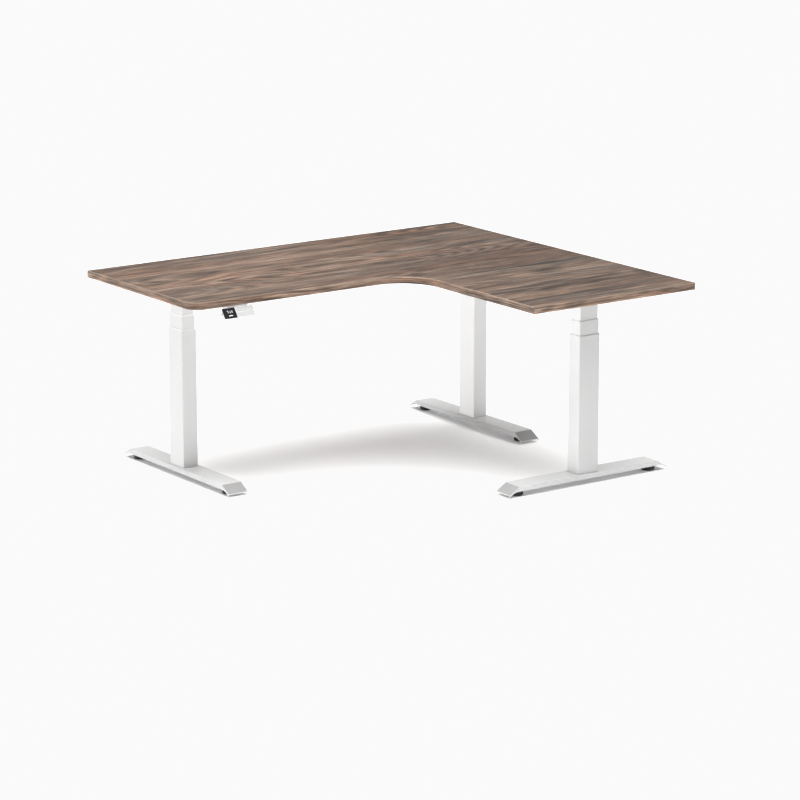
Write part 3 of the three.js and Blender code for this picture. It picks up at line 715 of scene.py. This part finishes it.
def make_collar(leg, stage, around, around_radius, inside, inside_radius, body):
    """Plastic guide between two stages: a rim on the outer one's edge and a thin sleeve down inside it."""
    low, high = span(f"{leg}_{stage}_collar")
    rim_low, chamfer = high - 3 * MM - GAP, 2.2 * MM
    opening = tube_outline(inside, inside_radius, RUNNING)
    sleeve = tube_outline(around, around_radius, -WALL - GAP)
    build = Build(leg_matrix(leg))
    loops = [
        (sleeve, low), (sleeve, rim_low), (tube_outline(around, around_radius), rim_low),
        (tube_outline(around, around_radius), high - 1.2 * chamfer),
        (tube_outline(around, around_radius, -chamfer), high), (opening, high), (opening, low),
    ]
    build.rings(loops)
    finish_piece(f"{leg}_{stage}_guide", build, COLLAR, body, [f"{leg}_{stage}_collar"], bevel=0.25 * MM, crease=40)


def make_gearmotor(leg):
    """Gear case with its four screws, and the motor can beside it with a crimped rim and an end cap."""
    low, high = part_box("left_gearmotor")
    axis_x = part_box("left_outer_tube")
    centre = (axis_x[0].x + axis_x[1].x) / 2
    reach = high.x - centre  # end of the cap from the leg's axis
    case_half, case_depth = centre - low.x, 28 * MM
    case_low, case_high = low.z, high.z
    radius = 22.5 * MM
    motor_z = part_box("left_motor_lead")[0].z + 3 * MM
    build = Build(leg_matrix(leg))
    case = ((-case_half, case_half), (-case_depth, case_depth))
    build.rounded_box(*case, (case_low, case_high), 5 * MM)
    for z in (case_low + 6 * MM, case_high - 7 * MM):
        ridge = 0.6 * MM
        build.rounded_box((-case_half - 0, case_half), (-case_depth - ridge, case_depth + ridge), (z, z + 1.5 * MM), 5 * MM)
    finish_piece(f"{leg}_gear_case", build, MOTOR, "top_frame", [f"{leg}_gearmotor"], bevel=0.8 * MM)

    can = Build(leg_matrix(leg)).at(z=motor_z).at(turn=90, axis="Y")
    start, end = case_half - 4 * MM, reach - 6 * MM
    can.turned([
        (0, start), (radius - 1.2 * MM, start), (radius, start + 1.2 * MM), (radius, end - 9 * MM),
        (radius - 0.7 * MM, end - 8 * MM), (radius - 0.7 * MM, end - 6.5 * MM), (radius, end - 5.5 * MM),
        (radius, end - 1.5 * MM), (radius - 1.5 * MM, end), (radius - 3 * MM, end),
        (radius - 3.4 * MM, end + 5 * MM), (radius - 4.4 * MM, end + 6 * MM), (7 * MM, end + 6 * MM),
        (6 * MM, end + 5.2 * MM), (0, end + 5.2 * MM),
    ], 48)
    finish_piece(f"{leg}_motor_can", can, MOTOR, "top_frame")

    screws = Build(leg_matrix(leg))
    for x in (-1, 1):
        for y in (-1, 1):
            add_screw(screws.at(x * (case_half - 6 * MM), y * (case_depth - 6 * MM), case_low), 3 * MM, -1)
    finish_piece(f"{leg}_gear_case_screws", screws, ZINC, "top_frame")


bracket_low, bracket_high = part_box("left_bracket")
BRACKET_TOP, BRACKET_LOW = bracket_high.z, bracket_low.z
BRACKET_SHEET = 2.7 * MM


def make_bracket(leg):
    """Folded channel under the top, its flanges tapering to the ends, with ribs that hold the slim stage."""
    half = (bracket_high.x - bracket_low.x) / 2
    reach = (bracket_high.y - bracket_low.y) / 2
    roof = [(-reach, BRACKET_TOP), (reach, BRACKET_TOP)]
    end, taper = BRACKET_TOP - 10 * MM, reach - 0.100
    lower = curve_through((taper - 0.012, BRACKET_LOW), (taper, BRACKET_LOW), (taper + 0.012, BRACKET_LOW + 2.5 * MM), 5)
    edge = [(-y, z) for y, z in reversed(lower)] + lower
    edge = [(-reach, end)] + edge + [(reach, end)]
    build = Build(leg_matrix(leg))
    folded_sheet(build, roof, edge, half, 3 * MM)
    make_folded(f"{leg}_top_bracket", build, BRACKET_SHEET, PAINT, "top_frame", [f"{leg}_bracket"], 0.4 * MM)

    ribs = Build(leg_matrix(leg))
    face = SLIM[1] / 2 + RUNNING
    for low, high in ((-face - BRACKET_SHEET, -face), (face, face + BRACKET_SHEET)):
        ribs.box((BRACKET_SHEET - half, half - BRACKET_SHEET), (low, high), (BRACKET_LOW + 2 * MM, BRACKET_TOP - BRACKET_SHEET))
    finish_piece(f"{leg}_bracket_ribs", ribs, PAINT, "top_frame", bevel=0.4 * MM)

    screws = Build(leg_matrix(leg))
    for y in (-260, -140, 140, 260):
        seat = screws.at(0, y * MM, BRACKET_TOP - BRACKET_SHEET, 180, "X")
        seat.pipe(circle(7 * MM, 24), circle(3 * MM, 24), 0, 1 * MM)
        add_screw(seat.at(z=1 * MM), 4.6 * MM)
    for side in (-1, 1):
        for y in (-face - BRACKET_SHEET, face + BRACKET_SHEET):
            out = 90 if y < 0 else -90
            bolt = screws.at(side * 14 * MM, y, BRACKET_LOW + 13 * MM, out, "X")
            add_bolt(bolt, 4.5 * MM, 4.5 * MM)
    finish_piece(f"{leg}_bracket_screws", screws, ZINC, "top_frame", bevel=0.2 * MM, segments=1)


def make_leg(leg):
    base, middle = f"{leg}_base", f"{leg}_middle"
    make_foot(leg)
    make_glide(leg, "a", -1)
    make_glide(leg, "b", 1)
    make_tube(leg, "outer_tube", OUTER, OUTER_RADIUS, base)
    make_tube(leg, "middle_tube", MIDDLE, MIDDLE_RADIUS, middle)
    make_tube(leg, "slim_tube", SLIM, SLIM_RADIUS, "top_frame")
    make_collar(leg, "outer", OUTER, OUTER_RADIUS, MIDDLE, MIDDLE_RADIUS, base)
    make_collar(leg, "middle", MIDDLE, MIDDLE_RADIUS, SLIM, SLIM_RADIUS, middle)
    make_gearmotor(leg)
    make_bracket(leg)
    for part in ("drive_tube", "hollow_screw", "fixed_screw"):
        node = frame["nodes"][f"{leg}_{part}"]
        node.data.materials.clear()
        node.data.materials.append(THREAD[0])


# ---------------------------------------------------------------- rails
def make_rail(name, node, along_x):
    """Square steel rail with rounded edges, open at both ends, with its end bolts."""
    low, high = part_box(node)
    centre, size = (low + high) / 2, high - low
    length = size.x if along_x else size.y
    width = size.y if along_x else size.x
    frame_of_rail = Build(Matrix.Translation(centre)).at(turn=0 if along_x else 90).at(turn=90, axis="Y")
    outer = rounded_rectangle(size.z, width, 3 * MM, 5)
    inner = rounded_rectangle(size.z - 2 * WALL, width - 2 * WALL, 1.5 * MM, 5)
    frame_of_rail.pipe(outer, inner, -length / 2, length / 2)
    finish_piece(name, frame_of_rail, PAINT, "top_frame", [node], bevel=0.3 * MM, crease=50)

    bolts = Build(Matrix.Translation(centre)).at(turn=0 if along_x else 90)
    for side in (-1, 1):
        for share in (-0.46, 0.46):
            seat = bolts.at(share * length, side * width / 2, 0, -90 * side, "X")
            add_screw(seat, 4 * MM)
    finish_piece(f"{name}_screws", bolts, ZINC, "top_frame")


# ---------------------------------------------------------------- control box
def make_control_box():
    """Two-part plastic box: vented cover below, shell above, its screws and a status light; the leads plug in at both
    ends.
    """
    shell_low, shell_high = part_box("control_box_shell")
    cover_low, cover_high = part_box("control_box_cover")
    x, y = (shell_low.x, shell_high.x), (shell_low.y, shell_high.y)
    upper = Build()
    upper.rounded_box(x, y, (shell_low.z, shell_high.z), 4 * MM)
    finish_piece("control_box_upper", upper, PLASTIC, "top_frame", ["control_box_shell"], bevel=0.8 * MM)
    lower = Build()
    lower.rounded_box(x, y, (cover_low.z + 2 * MM, cover_high.z), 4 * MM)
    lower.rounded_box((x[0] + 5 * MM, x[1] - 5 * MM), (y[0] + 5 * MM, y[1] - 5 * MM), (cover_low.z, cover_low.z + 3 * MM), 3 * MM)
    finish_piece("control_box_lower", lower, PLASTIC, "top_frame", ["control_box_cover"], bevel=0.8 * MM)

    vents = Build()
    middle = (y[0] + y[1]) / 2
    for index in range(12):
        place = -0.055 + index * 0.010
        vents.rounded_box((place, place + 3.5 * MM), (middle - 0.026, middle + 0.026), (cover_low.z, cover_low.z + 1.2 * MM), 1.2 * MM)
    slots = finish_piece("control_box_vent_ribs", vents, JACKET, "top_frame", bevel=0.4 * MM)
    slots.location.z -= 0.0
    screws = Build()
    for sx in (x[0] + 12 * MM, x[1] - 12 * MM):
        for sy in (y[0] + 12 * MM, y[1] - 12 * MM):
            add_screw(screws.at(sx, sy, cover_low.z + 0.2 * MM), 3.2 * MM, -1)
    finish_piece("control_box_screws", screws, ZINC, "top_frame")
    lamp = Build().at(x[1] - 0.030, middle - 0.030, cover_low.z)
    lamp.turned([(0, -0.4 * MM), (1.5 * MM, -0.2 * MM), (1.8 * MM, 0.4 * MM), (0, 0.6 * MM)], 20)
    finish_piece("control_box_status_light", lamp, LED, "top_frame")


def make_inlet():
    """Mains inlet with its recess and three pins."""
    low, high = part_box("mains_inlet")
    centre = (low + high) / 2
    face = Build(Matrix.Translation((high.x, centre.y, centre.z))).at(turn=90, axis="Y")
    height, width = high.z - low.z, high.y - low.y
    outer = rounded_rectangle(height, width, 2 * MM, 4)
    inner = rounded_rectangle(height - 6 * MM, width - 6 * MM, 2 * MM, 4)
    face.pipe(outer, inner, -15.5 * MM, 0)
    face.prism(rounded_rectangle(height - 4 * MM, width - 4 * MM, 2 * MM, 4), -15 * MM, -10 * MM)
    finish_piece("mains_inlet_frame", face, PLASTIC, "top_frame", ["mains_inlet"], bevel=0.5 * MM)
    pins = Build(Matrix.Translation((high.x, centre.y, centre.z))).at(turn=90, axis="Y")
    for across, up in ((-7, 1.5), (0, -2.0), (7, 1.5)):
        half = (2.0 * MM, 1.0 * MM)
        pins.box((up * MM - half[0], up * MM + half[0]), (across * MM - half[1], across * MM + half[1]), (-11 * MM, -2 * MM))
    finish_piece("mains_inlet_pins", pins, CONTACT, "top_frame", bevel=0.3 * MM)


# ---------------------------------------------------------------- handset
display_low, display_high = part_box("handset_display")
housing_low, housing_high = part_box("handset_housing")
FALL, LEAN = 31 * MM, 24 * MM  # the face falls this far and leans back this far
FACE_TILT = math.atan2(FALL, LEAN)
FACE_HALF = math.hypot(FALL, LEAN) / 2
HANDSET_HALF = (housing_high.x - housing_low.x) / 2
SCREEN = display_high.x - display_low.x


def face_build():
    """A frame on the handset's face: x along the edge, y up the face, z out of it."""
    place = ((housing_low.x + housing_high.x) / 2, display_low.y + LEAN / 2, display_high.z - FALL / 2)
    return Build(Matrix.Translation(place) @ Matrix.Rotation(FACE_TILT, 4, "X"))


def make_housing():
    body = face_build()
    left, right = -HANDSET_HALF, HANDSET_HALF
    split = left + SCREEN
    body.rounded_box((left, right), (-FACE_HALF, FACE_HALF), (-7 * MM, -5.9 * MM), 3 * MM)
    key_low, key_high = split + 2.5 * MM, split + 69.5 * MM
    body.box((split + GAP, key_low - GAP), (-FACE_HALF, FACE_HALF), (-6 * MM, 0))
    body.box((key_high + GAP, right), (-FACE_HALF, FACE_HALF), (-6 * MM, 0))
    for low, high in ((-FACE_HALF, -17.7 * MM), (-1.2 * MM, 1.2 * MM), (17.7 * MM, FACE_HALF)):
        body.box((key_low - GAP, key_high + GAP), (low, high), (-6 * MM, 0))
    body.box((left + 0.4 * MM, split), (-FACE_HALF + 0.4 * MM, FACE_HALF - 0.4 * MM), (-6 * MM, -3.3 * MM))
    finish_piece("handset_body", body, HOUSING, "top_frame", ["handset_housing"], bevel=0.5 * MM)

    tongue_high = housing_high.y
    top = housing_high.z
    profile = [
        (display_low.y + 9 * MM, UNDER - 27 * MM), (tongue_high, UNDER - 14 * MM),
        (tongue_high, top), (display_low.y + 31 * MM, top), (display_low.y + 27 * MM, UNDER - 8 * MM),
    ]
    centre = (housing_low.x + housing_high.x) / 2
    swap = Matrix(((0, 0, 1, 0), (1, 0, 0, 0), (0, 1, 0, 0), (0, 0, 0, 1)))
    tongue = Build(Matrix.Translation((centre, 0, 0)) @ swap)
    tongue.prism(profile, -35 * MM, 45 * MM)
    finish_piece("handset_mount", tongue, HOUSING, "top_frame", bevel=1.5 * MM, segments=3)

    # A small grey block on the left end of the handset's face.
    nub = face_build()
    nub.rounded_box((left - 2.5 * MM, left + 9 * MM), (-1 * MM, 7 * MM), (-11 * MM, -7.2 * MM), 1.5 * MM)
    finish_piece("handset_side_socket", nub, NUB, "top_frame", bevel=0.8 * MM)
    screws = Build(Matrix.Translation((centre, 0, 0)))
    for x in (-26 * MM, 36 * MM):
        height = UNDER - 14 * MM - 3.2 * MM
        add_screw(screws.at(x, tongue_high - 10 * MM, height, 13.3, "X"), 3 * MM, -1)
    finish_piece("handset_screws", screws, ZINC, "top_frame")


# Which of a digit's seven bars are lit: top, upper right, lower right, bottom, lower left, upper left, middle.
DIGIT_BARS = {"7": "1110000", "1": "0110000"}


def add_digit(build, character, x, y, height):
    """One seven-bar digit as thin raised bars, its lower left corner at (x, y)."""
    width, half, bar = 0.52 * height, height / 2, 0.15 * height
    lean = math.tan(math.radians(8))
    ends = [
        ((0, height), (width, height)), ((width, height), (width, half)), ((width, half), (width, 0)),
        ((width, 0), (0, 0)), ((0, 0), (0, half)), ((0, half), (0, height)), ((0, half), (width, half)),
    ]
    for state, ((x0, y0), (x1, y1)) in zip(DIGIT_BARS[character], ends):
        if state == "0":
            continue
        run = Vector((x1 - x0, y1 - y0)).normalized()
        side = Vector((-run.y, run.x)) * bar / 2
        one, other = Vector((x0, y0)) + run * bar * 0.1, Vector((x1, y1)) - run * bar * 0.1
        tips = [one, one + run * bar / 2 + side, other - run * bar / 2 + side, other, other - run * bar / 2 - side, one + run * bar / 2 - side]
        build.prism([(x + p.x + p.y * lean, y + p.y) for p in tips], -0.2 * MM, 0.02 * MM)


def make_display():
    left = -HANDSET_HALF
    centre = left + SCREEN / 2
    panel = face_build()
    panel.prism(rounded_rectangle(SCREEN, 2 * FACE_HALF, 3 * MM, 6, (centre, 0)), -3 * MM, -0.25 * MM)
    finish_piece("handset_screen", panel, GLASS, "top_frame", ["handset_display"], bevel=0.6 * MM, segments=3)
    light = face_build().at(z=-0.2 * MM)
    height = 8.4 * MM
    for index, character in enumerate("711"):
        add_digit(light, character, centre - 10 * MM + index * 7.8 * MM, 0.2 * MM, height)
    light.prism(circle(0.75 * MM, 16, (centre + 4.1 * MM, 0.5 * MM)), -0.2 * MM, 0.02 * MM)
    light.rounded_box((centre - 7 * MM, centre + 9 * MM), (-10.6 * MM, -8.9 * MM), (-0.2 * MM, 0.02 * MM), 0.8 * MM)
    finish_piece("handset_readout", light, DIGIT, "top_frame")


def make_key(name, sign):
    """A long crowned key."""
    split = -HANDSET_HALF + SCREEN
    x = (split + 2.5 * MM, split + 69.5 * MM)
    y = sorted((sign * 1.5 * MM, sign * 17.4 * MM))
    build = face_build()
    build.rounded_box(x, y, (-4.3 * MM, -0.8 * MM), 2 * MM, 6)
    finish_piece(f"{name}_cap", build, KEY, name, [name], bevel=1.0 * MM, segments=4)


# ---------------------------------------------------------------- leads
def rounded_route(corners, radius, steps=6):
    """The route through its corners, each one rounded."""
    places = [Vector(corner) for corner in corners]
    route = [places[0]]
    for before, place, after in zip(places, places[1:], places[2:]):
        start = place.lerp(before, min(0.45, radius / (before - place).length))
        end = place.lerp(after, min(0.45, radius / (after - place).length))
        route += [start.lerp(place, t).lerp(place.lerp(end, t), t) for t in [i / steps for i in range(steps + 1)]]
    return route + [places[-1]]


def make_lead(name, node, radius, corners):
    """A fixed lead as one smooth round tube, with a plug where it enters the control box."""
    route = rounded_route([tuple(value * MM for value in corner) for corner in corners], 14 * MM)
    curve = bpy.data.curves.new(name, "CURVE")
    curve.dimensions = "3D"
    curve.bevel_depth = radius * MM
    curve.bevel_resolution = 5
    curve.use_fill_caps = True
    spline = curve.splines.new("POLY")
    spline.points.add(len(route) - 1)
    for point, place in zip(spline.points, route):
        point.co = (*place, 1)
    tube = bpy.data.objects.new(name, curve)
    bpy.context.scene.collection.objects.link(tube)
    curve.materials.append(JACKET[0])
    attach(tube, "top_frame")
    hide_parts(node)
    end, before = route[-1], route[-2]
    away = 1 if before.x > end.x else -1
    plug = Build(Matrix.Translation(end))
    length = 13 * MM
    plug.box(sorted((0, away * length)), (-6 * MM, 6 * MM), (-4.5 * MM, 4.5 * MM))
    for index in range(3):
        rib = away * (4 + 3 * index) * MM
        plug.box(sorted((rib, rib + away * 1.2 * MM)), (-6.6 * MM, 6.6 * MM), (-5.1 * MM, 5.1 * MM))
    plug.box(sorted((away * length, away * (length + 7 * MM))), (-3.6 * MM, 3.6 * MM), (-3.4 * MM, 3.4 * MM))
    finish_piece(f"{name}_plug", plug, PLASTIC, "top_frame", bevel=0.7 * MM)
    return route


def make_clip(name, place, along_x, radius):
    """An adhesive clip that holds a lead to the underside: a base on the board and a strap round the lead."""
    build = Build(Matrix.Translation((place[0], place[1], 0))).at(turn=0 if along_x else 90)
    build.rounded_box((-7 * MM, 7 * MM), (-10 * MM, 10 * MM), (UNDER - 1.6 * MM, UNDER - GAP), 2 * MM)
    strap = build.at(z=place[2]).at(turn=90, axis="Y")
    outer, inner = radius + 1.3 * MM, radius + 0.1 * MM
    strap.pipe(circle(outer, 32), circle(inner, 32), -4 * MM, 4 * MM)
    build.box((-4 * MM, 4 * MM), (-outer, outer), (place[2] + radius, UNDER - 1.2 * MM))
    finish_piece(name, build, PLASTIC, "top_frame", bevel=0.3 * MM)


def make_leads():
    rail_top = BRACKET_TOP / MM
    motor_z = (UNDER / MM) - 27
    high, socket, low = rail_top - 6, rail_top - 12, rail_top - 34.5
    box_end = 150.3
    make_lead("left_motor_cable", "left_motor_lead", 3, [
        (-473.7, 350, motor_z), (-430, 350, motor_z), (-400, 350, high),
        (-200, 350, high), (-180, 350, socket), (-box_end, 350, socket),
    ])
    make_lead("corner_motor_cable", "corner_motor_lead", 3, [
        (473.7, 350, motor_z), (430, 350, motor_z), (400, 340, high),
        (200, 340, high), (180, 340, socket), (box_end, 340, socket),
    ])
    make_lead("return_motor_cable", "return_motor_lead", 3, [
        (450, -373.7, motor_z), (450, -330, motor_z), (450, -300, high), (450, 215, high),
        (450, 245, low), (450, 305, low), (430, 323, socket), (200, 323, socket), (box_end, 323, socket),
    ])
    make_lead("handset_cable", "handset_lead", 2.2, [
        (-586.5, 40.3, rail_top - 7), (-586.5, 215, rail_top - 7), (-586.5, 245, low), (-586.5, 305, low),
        (-556.5, 320, socket), (-200, 320, socket), (-box_end, 320, socket),
    ])
    high = high * MM
    for index, x in enumerate((-0.36, -0.24)):
        make_clip(f"left_cable_clip_{index}", (x, 0.350, high), True, 3 * MM)
    for index, x in enumerate((0.36, 0.24)):
        make_clip(f"corner_cable_clip_{index}", (x, 0.340, high), True, 3 * MM)
    for index, y in enumerate((-0.25, -0.05, 0.15)):
        make_clip(f"return_cable_clip_{index}", (0.450, y, high), False, 3 * MM)
    for index, y in enumerate((0.08, 0.18)):
        make_clip(f"handset_cable_clip_{index}", (-0.5865, y, high - 1 * MM), False, 2.2 * MM)


# ---------------------------------------------------------------- studio
def make_camera():
    data = bpy.data.cameras.new("camera")
    data.lens = 149.9
    data.sensor_width = 36
    data.clip_end = 100
    camera = bpy.data.objects.new("camera", data)
    heading, pitch = math.radians(35.503), math.radians(13.642)
    level = math.cos(pitch)
    forward = Vector((math.sin(heading) * level, math.cos(heading) * level, -math.sin(pitch)))
    camera.location = (-6.5658, -9.2718, 3.0081)
    camera.rotation_mode = "QUATERNION"
    camera.rotation_quaternion = forward.to_track_quat("-Z", "Y")
    bpy.context.scene.collection.objects.link(camera)
    bpy.context.scene.camera = camera


def make_floor():
    finish = Finish("studio_floor", (0.93, 0.93, 0.93), 1.0, Specular_IOR_Level=0.0)
    shade = finish.ramp(finish.noise(finish.place(), 3, 2), (0.3, 0.955), (0.7, 0.96))
    away = finish.node("ShaderNodeVectorMath", {"Vector": finish.place()}, {"operation": "LENGTH"})
    fade = finish.node("ShaderNodeMapRange", {"Value": away.outputs["Value"]}, {"interpolation_type": "SMOOTHSTEP"})
    finish.set(fade, From_Min=0.80, From_Max=1.25, To_Min=1.0, To_Max=0.66)
    finish.link(finish.math("MULTIPLY", shade, fade.outputs["Result"]), "Base Color")
    mesh = bpy.data.meshes.new("floor")
    far = 60
    mesh.from_pydata([(-far, -far, 0), (far, -far, 0), (far, far, 0), (-far, far, 0)], [], [(0, 1, 2, 3)])
    mesh.materials.append(finish.material)
    floor = bpy.data.objects.new("floor", mesh)
    bpy.context.scene.collection.objects.link(floor)


# strengths of the surroundings: near the horizon, overhead, and the glow behind the desk
LEVEL, OVERHEAD, GLOW = 0.20, 0.08, 0.66


def make_world():
    """Soft studio surroundings: even light, and a broad glow low down behind the desk."""
    world = bpy.data.worlds.new("studio")
    world.use_nodes = True
    tree = world.node_tree
    background = tree.nodes["Background"]
    coordinate = tree.nodes.new("ShaderNodeTexCoord")
    parts = tree.nodes.new("ShaderNodeSeparateXYZ")
    tree.links.new(coordinate.outputs["Generated"], parts.inputs["Vector"])

    def ranged(source, low, high, to_low, to_high):
        node = tree.nodes.new("ShaderNodeMapRange")
        node.interpolation_type = "SMOOTHSTEP"
        tree.links.new(source, node.inputs["Value"])
        for name, value in (("From Min", low), ("From Max", high), ("To Min", to_low), ("To Max", to_high)):
            node.inputs[name].default_value = value
        return node.outputs["Result"]

    toward_back = tree.nodes.new("ShaderNodeVectorMath")
    toward_back.operation = "DOT_PRODUCT"
    tree.links.new(coordinate.outputs["Generated"], toward_back.inputs[0])
    toward_back.inputs[1].default_value = (0.58, 0.81, 0)
    glow = tree.nodes.new("ShaderNodeMath")
    glow.operation = "MULTIPLY"
    tree.links.new(ranged(parts.outputs["Z"], 0.25, 0.60, GLOW, 0.0), glow.inputs[0])
    tree.links.new(ranged(toward_back.outputs["Value"], 0.2, 0.8, 0.0, 1.0), glow.inputs[1])
    background.inputs["Color"].default_value = (1, 1, 1, 1)
    total = tree.nodes.new("ShaderNodeMath")
    total.operation = "ADD"
    tree.links.new(glow.outputs[0], total.inputs[0])
    tree.links.new(ranged(parts.outputs["Z"], 0.20, 0.55, LEVEL, OVERHEAD), total.inputs[1])
    tree.links.new(total.outputs[0], background.inputs["Strength"])
    bpy.context.scene.world = world


def clip_whites(view):
    """Everything brighter than white paper comes out as the same soft white."""
    view.view_transform = "Standard"
    view.use_curve_mapping = True
    view.curve_mapping.extend = "HORIZONTAL"
    view.curve_mapping.curves[3].points[1].location = (1, 0.956)
    view.curve_mapping.update()


def make_studio():
    clip_whites(bpy.context.scene.view_settings)
    make_camera()
    make_floor()
    make_world()


def add_sun(name, toward, strength, angle, shaded_by=None, lights_only=None):
    """A broad soft light; only some pieces may shade it, and it may light only some."""
    light = bpy.data.lights.new(name, "SUN")
    light.energy = strength
    light.angle = math.radians(angle)
    lamp = bpy.data.objects.new(name, light)
    lamp.rotation_mode = "QUATERNION"
    lamp.rotation_quaternion = Vector(toward).to_track_quat("-Z", "Y")
    lamp.visible_glossy = False
    bpy.context.scene.collection.objects.link(lamp)
    lamp.light_linking.blocker_collection = shaded_by
    lamp.light_linking.receiver_collection = lights_only


def group_of(name, wanted):
    """A collection of the pieces whose names pass a test."""
    group = bpy.data.collections.new(name)
    for piece in bpy.data.objects:
        if piece.type == "MESH" and wanted(piece.name):
            group.objects.link(piece)
    return group


def make_lights():
    """Broad fills that only the feet shade, and an overhead light that the top itself shades."""

    def on_leg(name, *parts):
        return name.startswith(tuple(f"{leg}_{part}" for leg in LEGS for part in parts))

    def on_column(name):
        return on_leg(name, "outer_", "middle_", "slim_")

    feet = group_of("feet", lambda name: on_leg(name, "foot_", "glide_"))
    glides = group_of("glides", lambda name: on_leg(name, "glide_"))
    not_columns = group_of("all_but_columns", lambda name: not on_column(name))
    floor = group_of("floor_only", lambda name: name == "floor")
    desk = group_of("desk_only", lambda name: name != "floor")
    handset = group_of("handset", lambda name: name.startswith("handset") and "display" not in name)
    along, inward, down = (1, 0.1, -0.06), (0.1, 1, -0.06), (0, 0, -1)
    for leg, side, front in (("left", 0.93, 0.0), ("corner", 2.05, 0.70), ("return", 1.56, 0.0)):
        column = group_of(f"{leg}_column", lambda name: on_column(name) and name.startswith(leg))
        add_sun(f"{leg}_side_fill", along, side, 30, feet, column)
        if front:
            add_sun(f"{leg}_front_fill", inward, front, 30, glides, column)
    add_sun("side_fill", along, 0.62, 30, feet, not_columns)
    add_sun("handset_fill", (0.2, 1, -0.1), 0.76, 30, glides, handset)
    add_sun("top_fill", (0.1, 0.05, -1), 3.30, 70, feet, desk)
    add_sun("feet_fill", down, 0.36, 20, glides, feet)
    add_sun("floor_fill", down, 2.70, 100, feet, floor)
    add_sun("floor_open_fill", down, 0.42, 20, glides, floor)
    add_sun("soft_key", down, 2.12, 64, None, not_columns)
    add_sun("floor_key", down, 2.10, 64, None, floor)


make_studio()
make_board()
make_bands()
for leg in LEGS:
    make_leg(leg)
make_rail("long_front_rail", "long_rail_front", True)
make_rail("long_back_rail", "long_rail_back", True)
make_rail("return_inner_rail", "return_rail_inner", False)
make_rail("return_outer_rail", "return_rail_outer", False)
make_control_box()
make_inlet()
make_housing()
make_display()
make_key("handset_up_key", 1)
make_key("handset_down_key", -1)
make_leads()
make_lights()
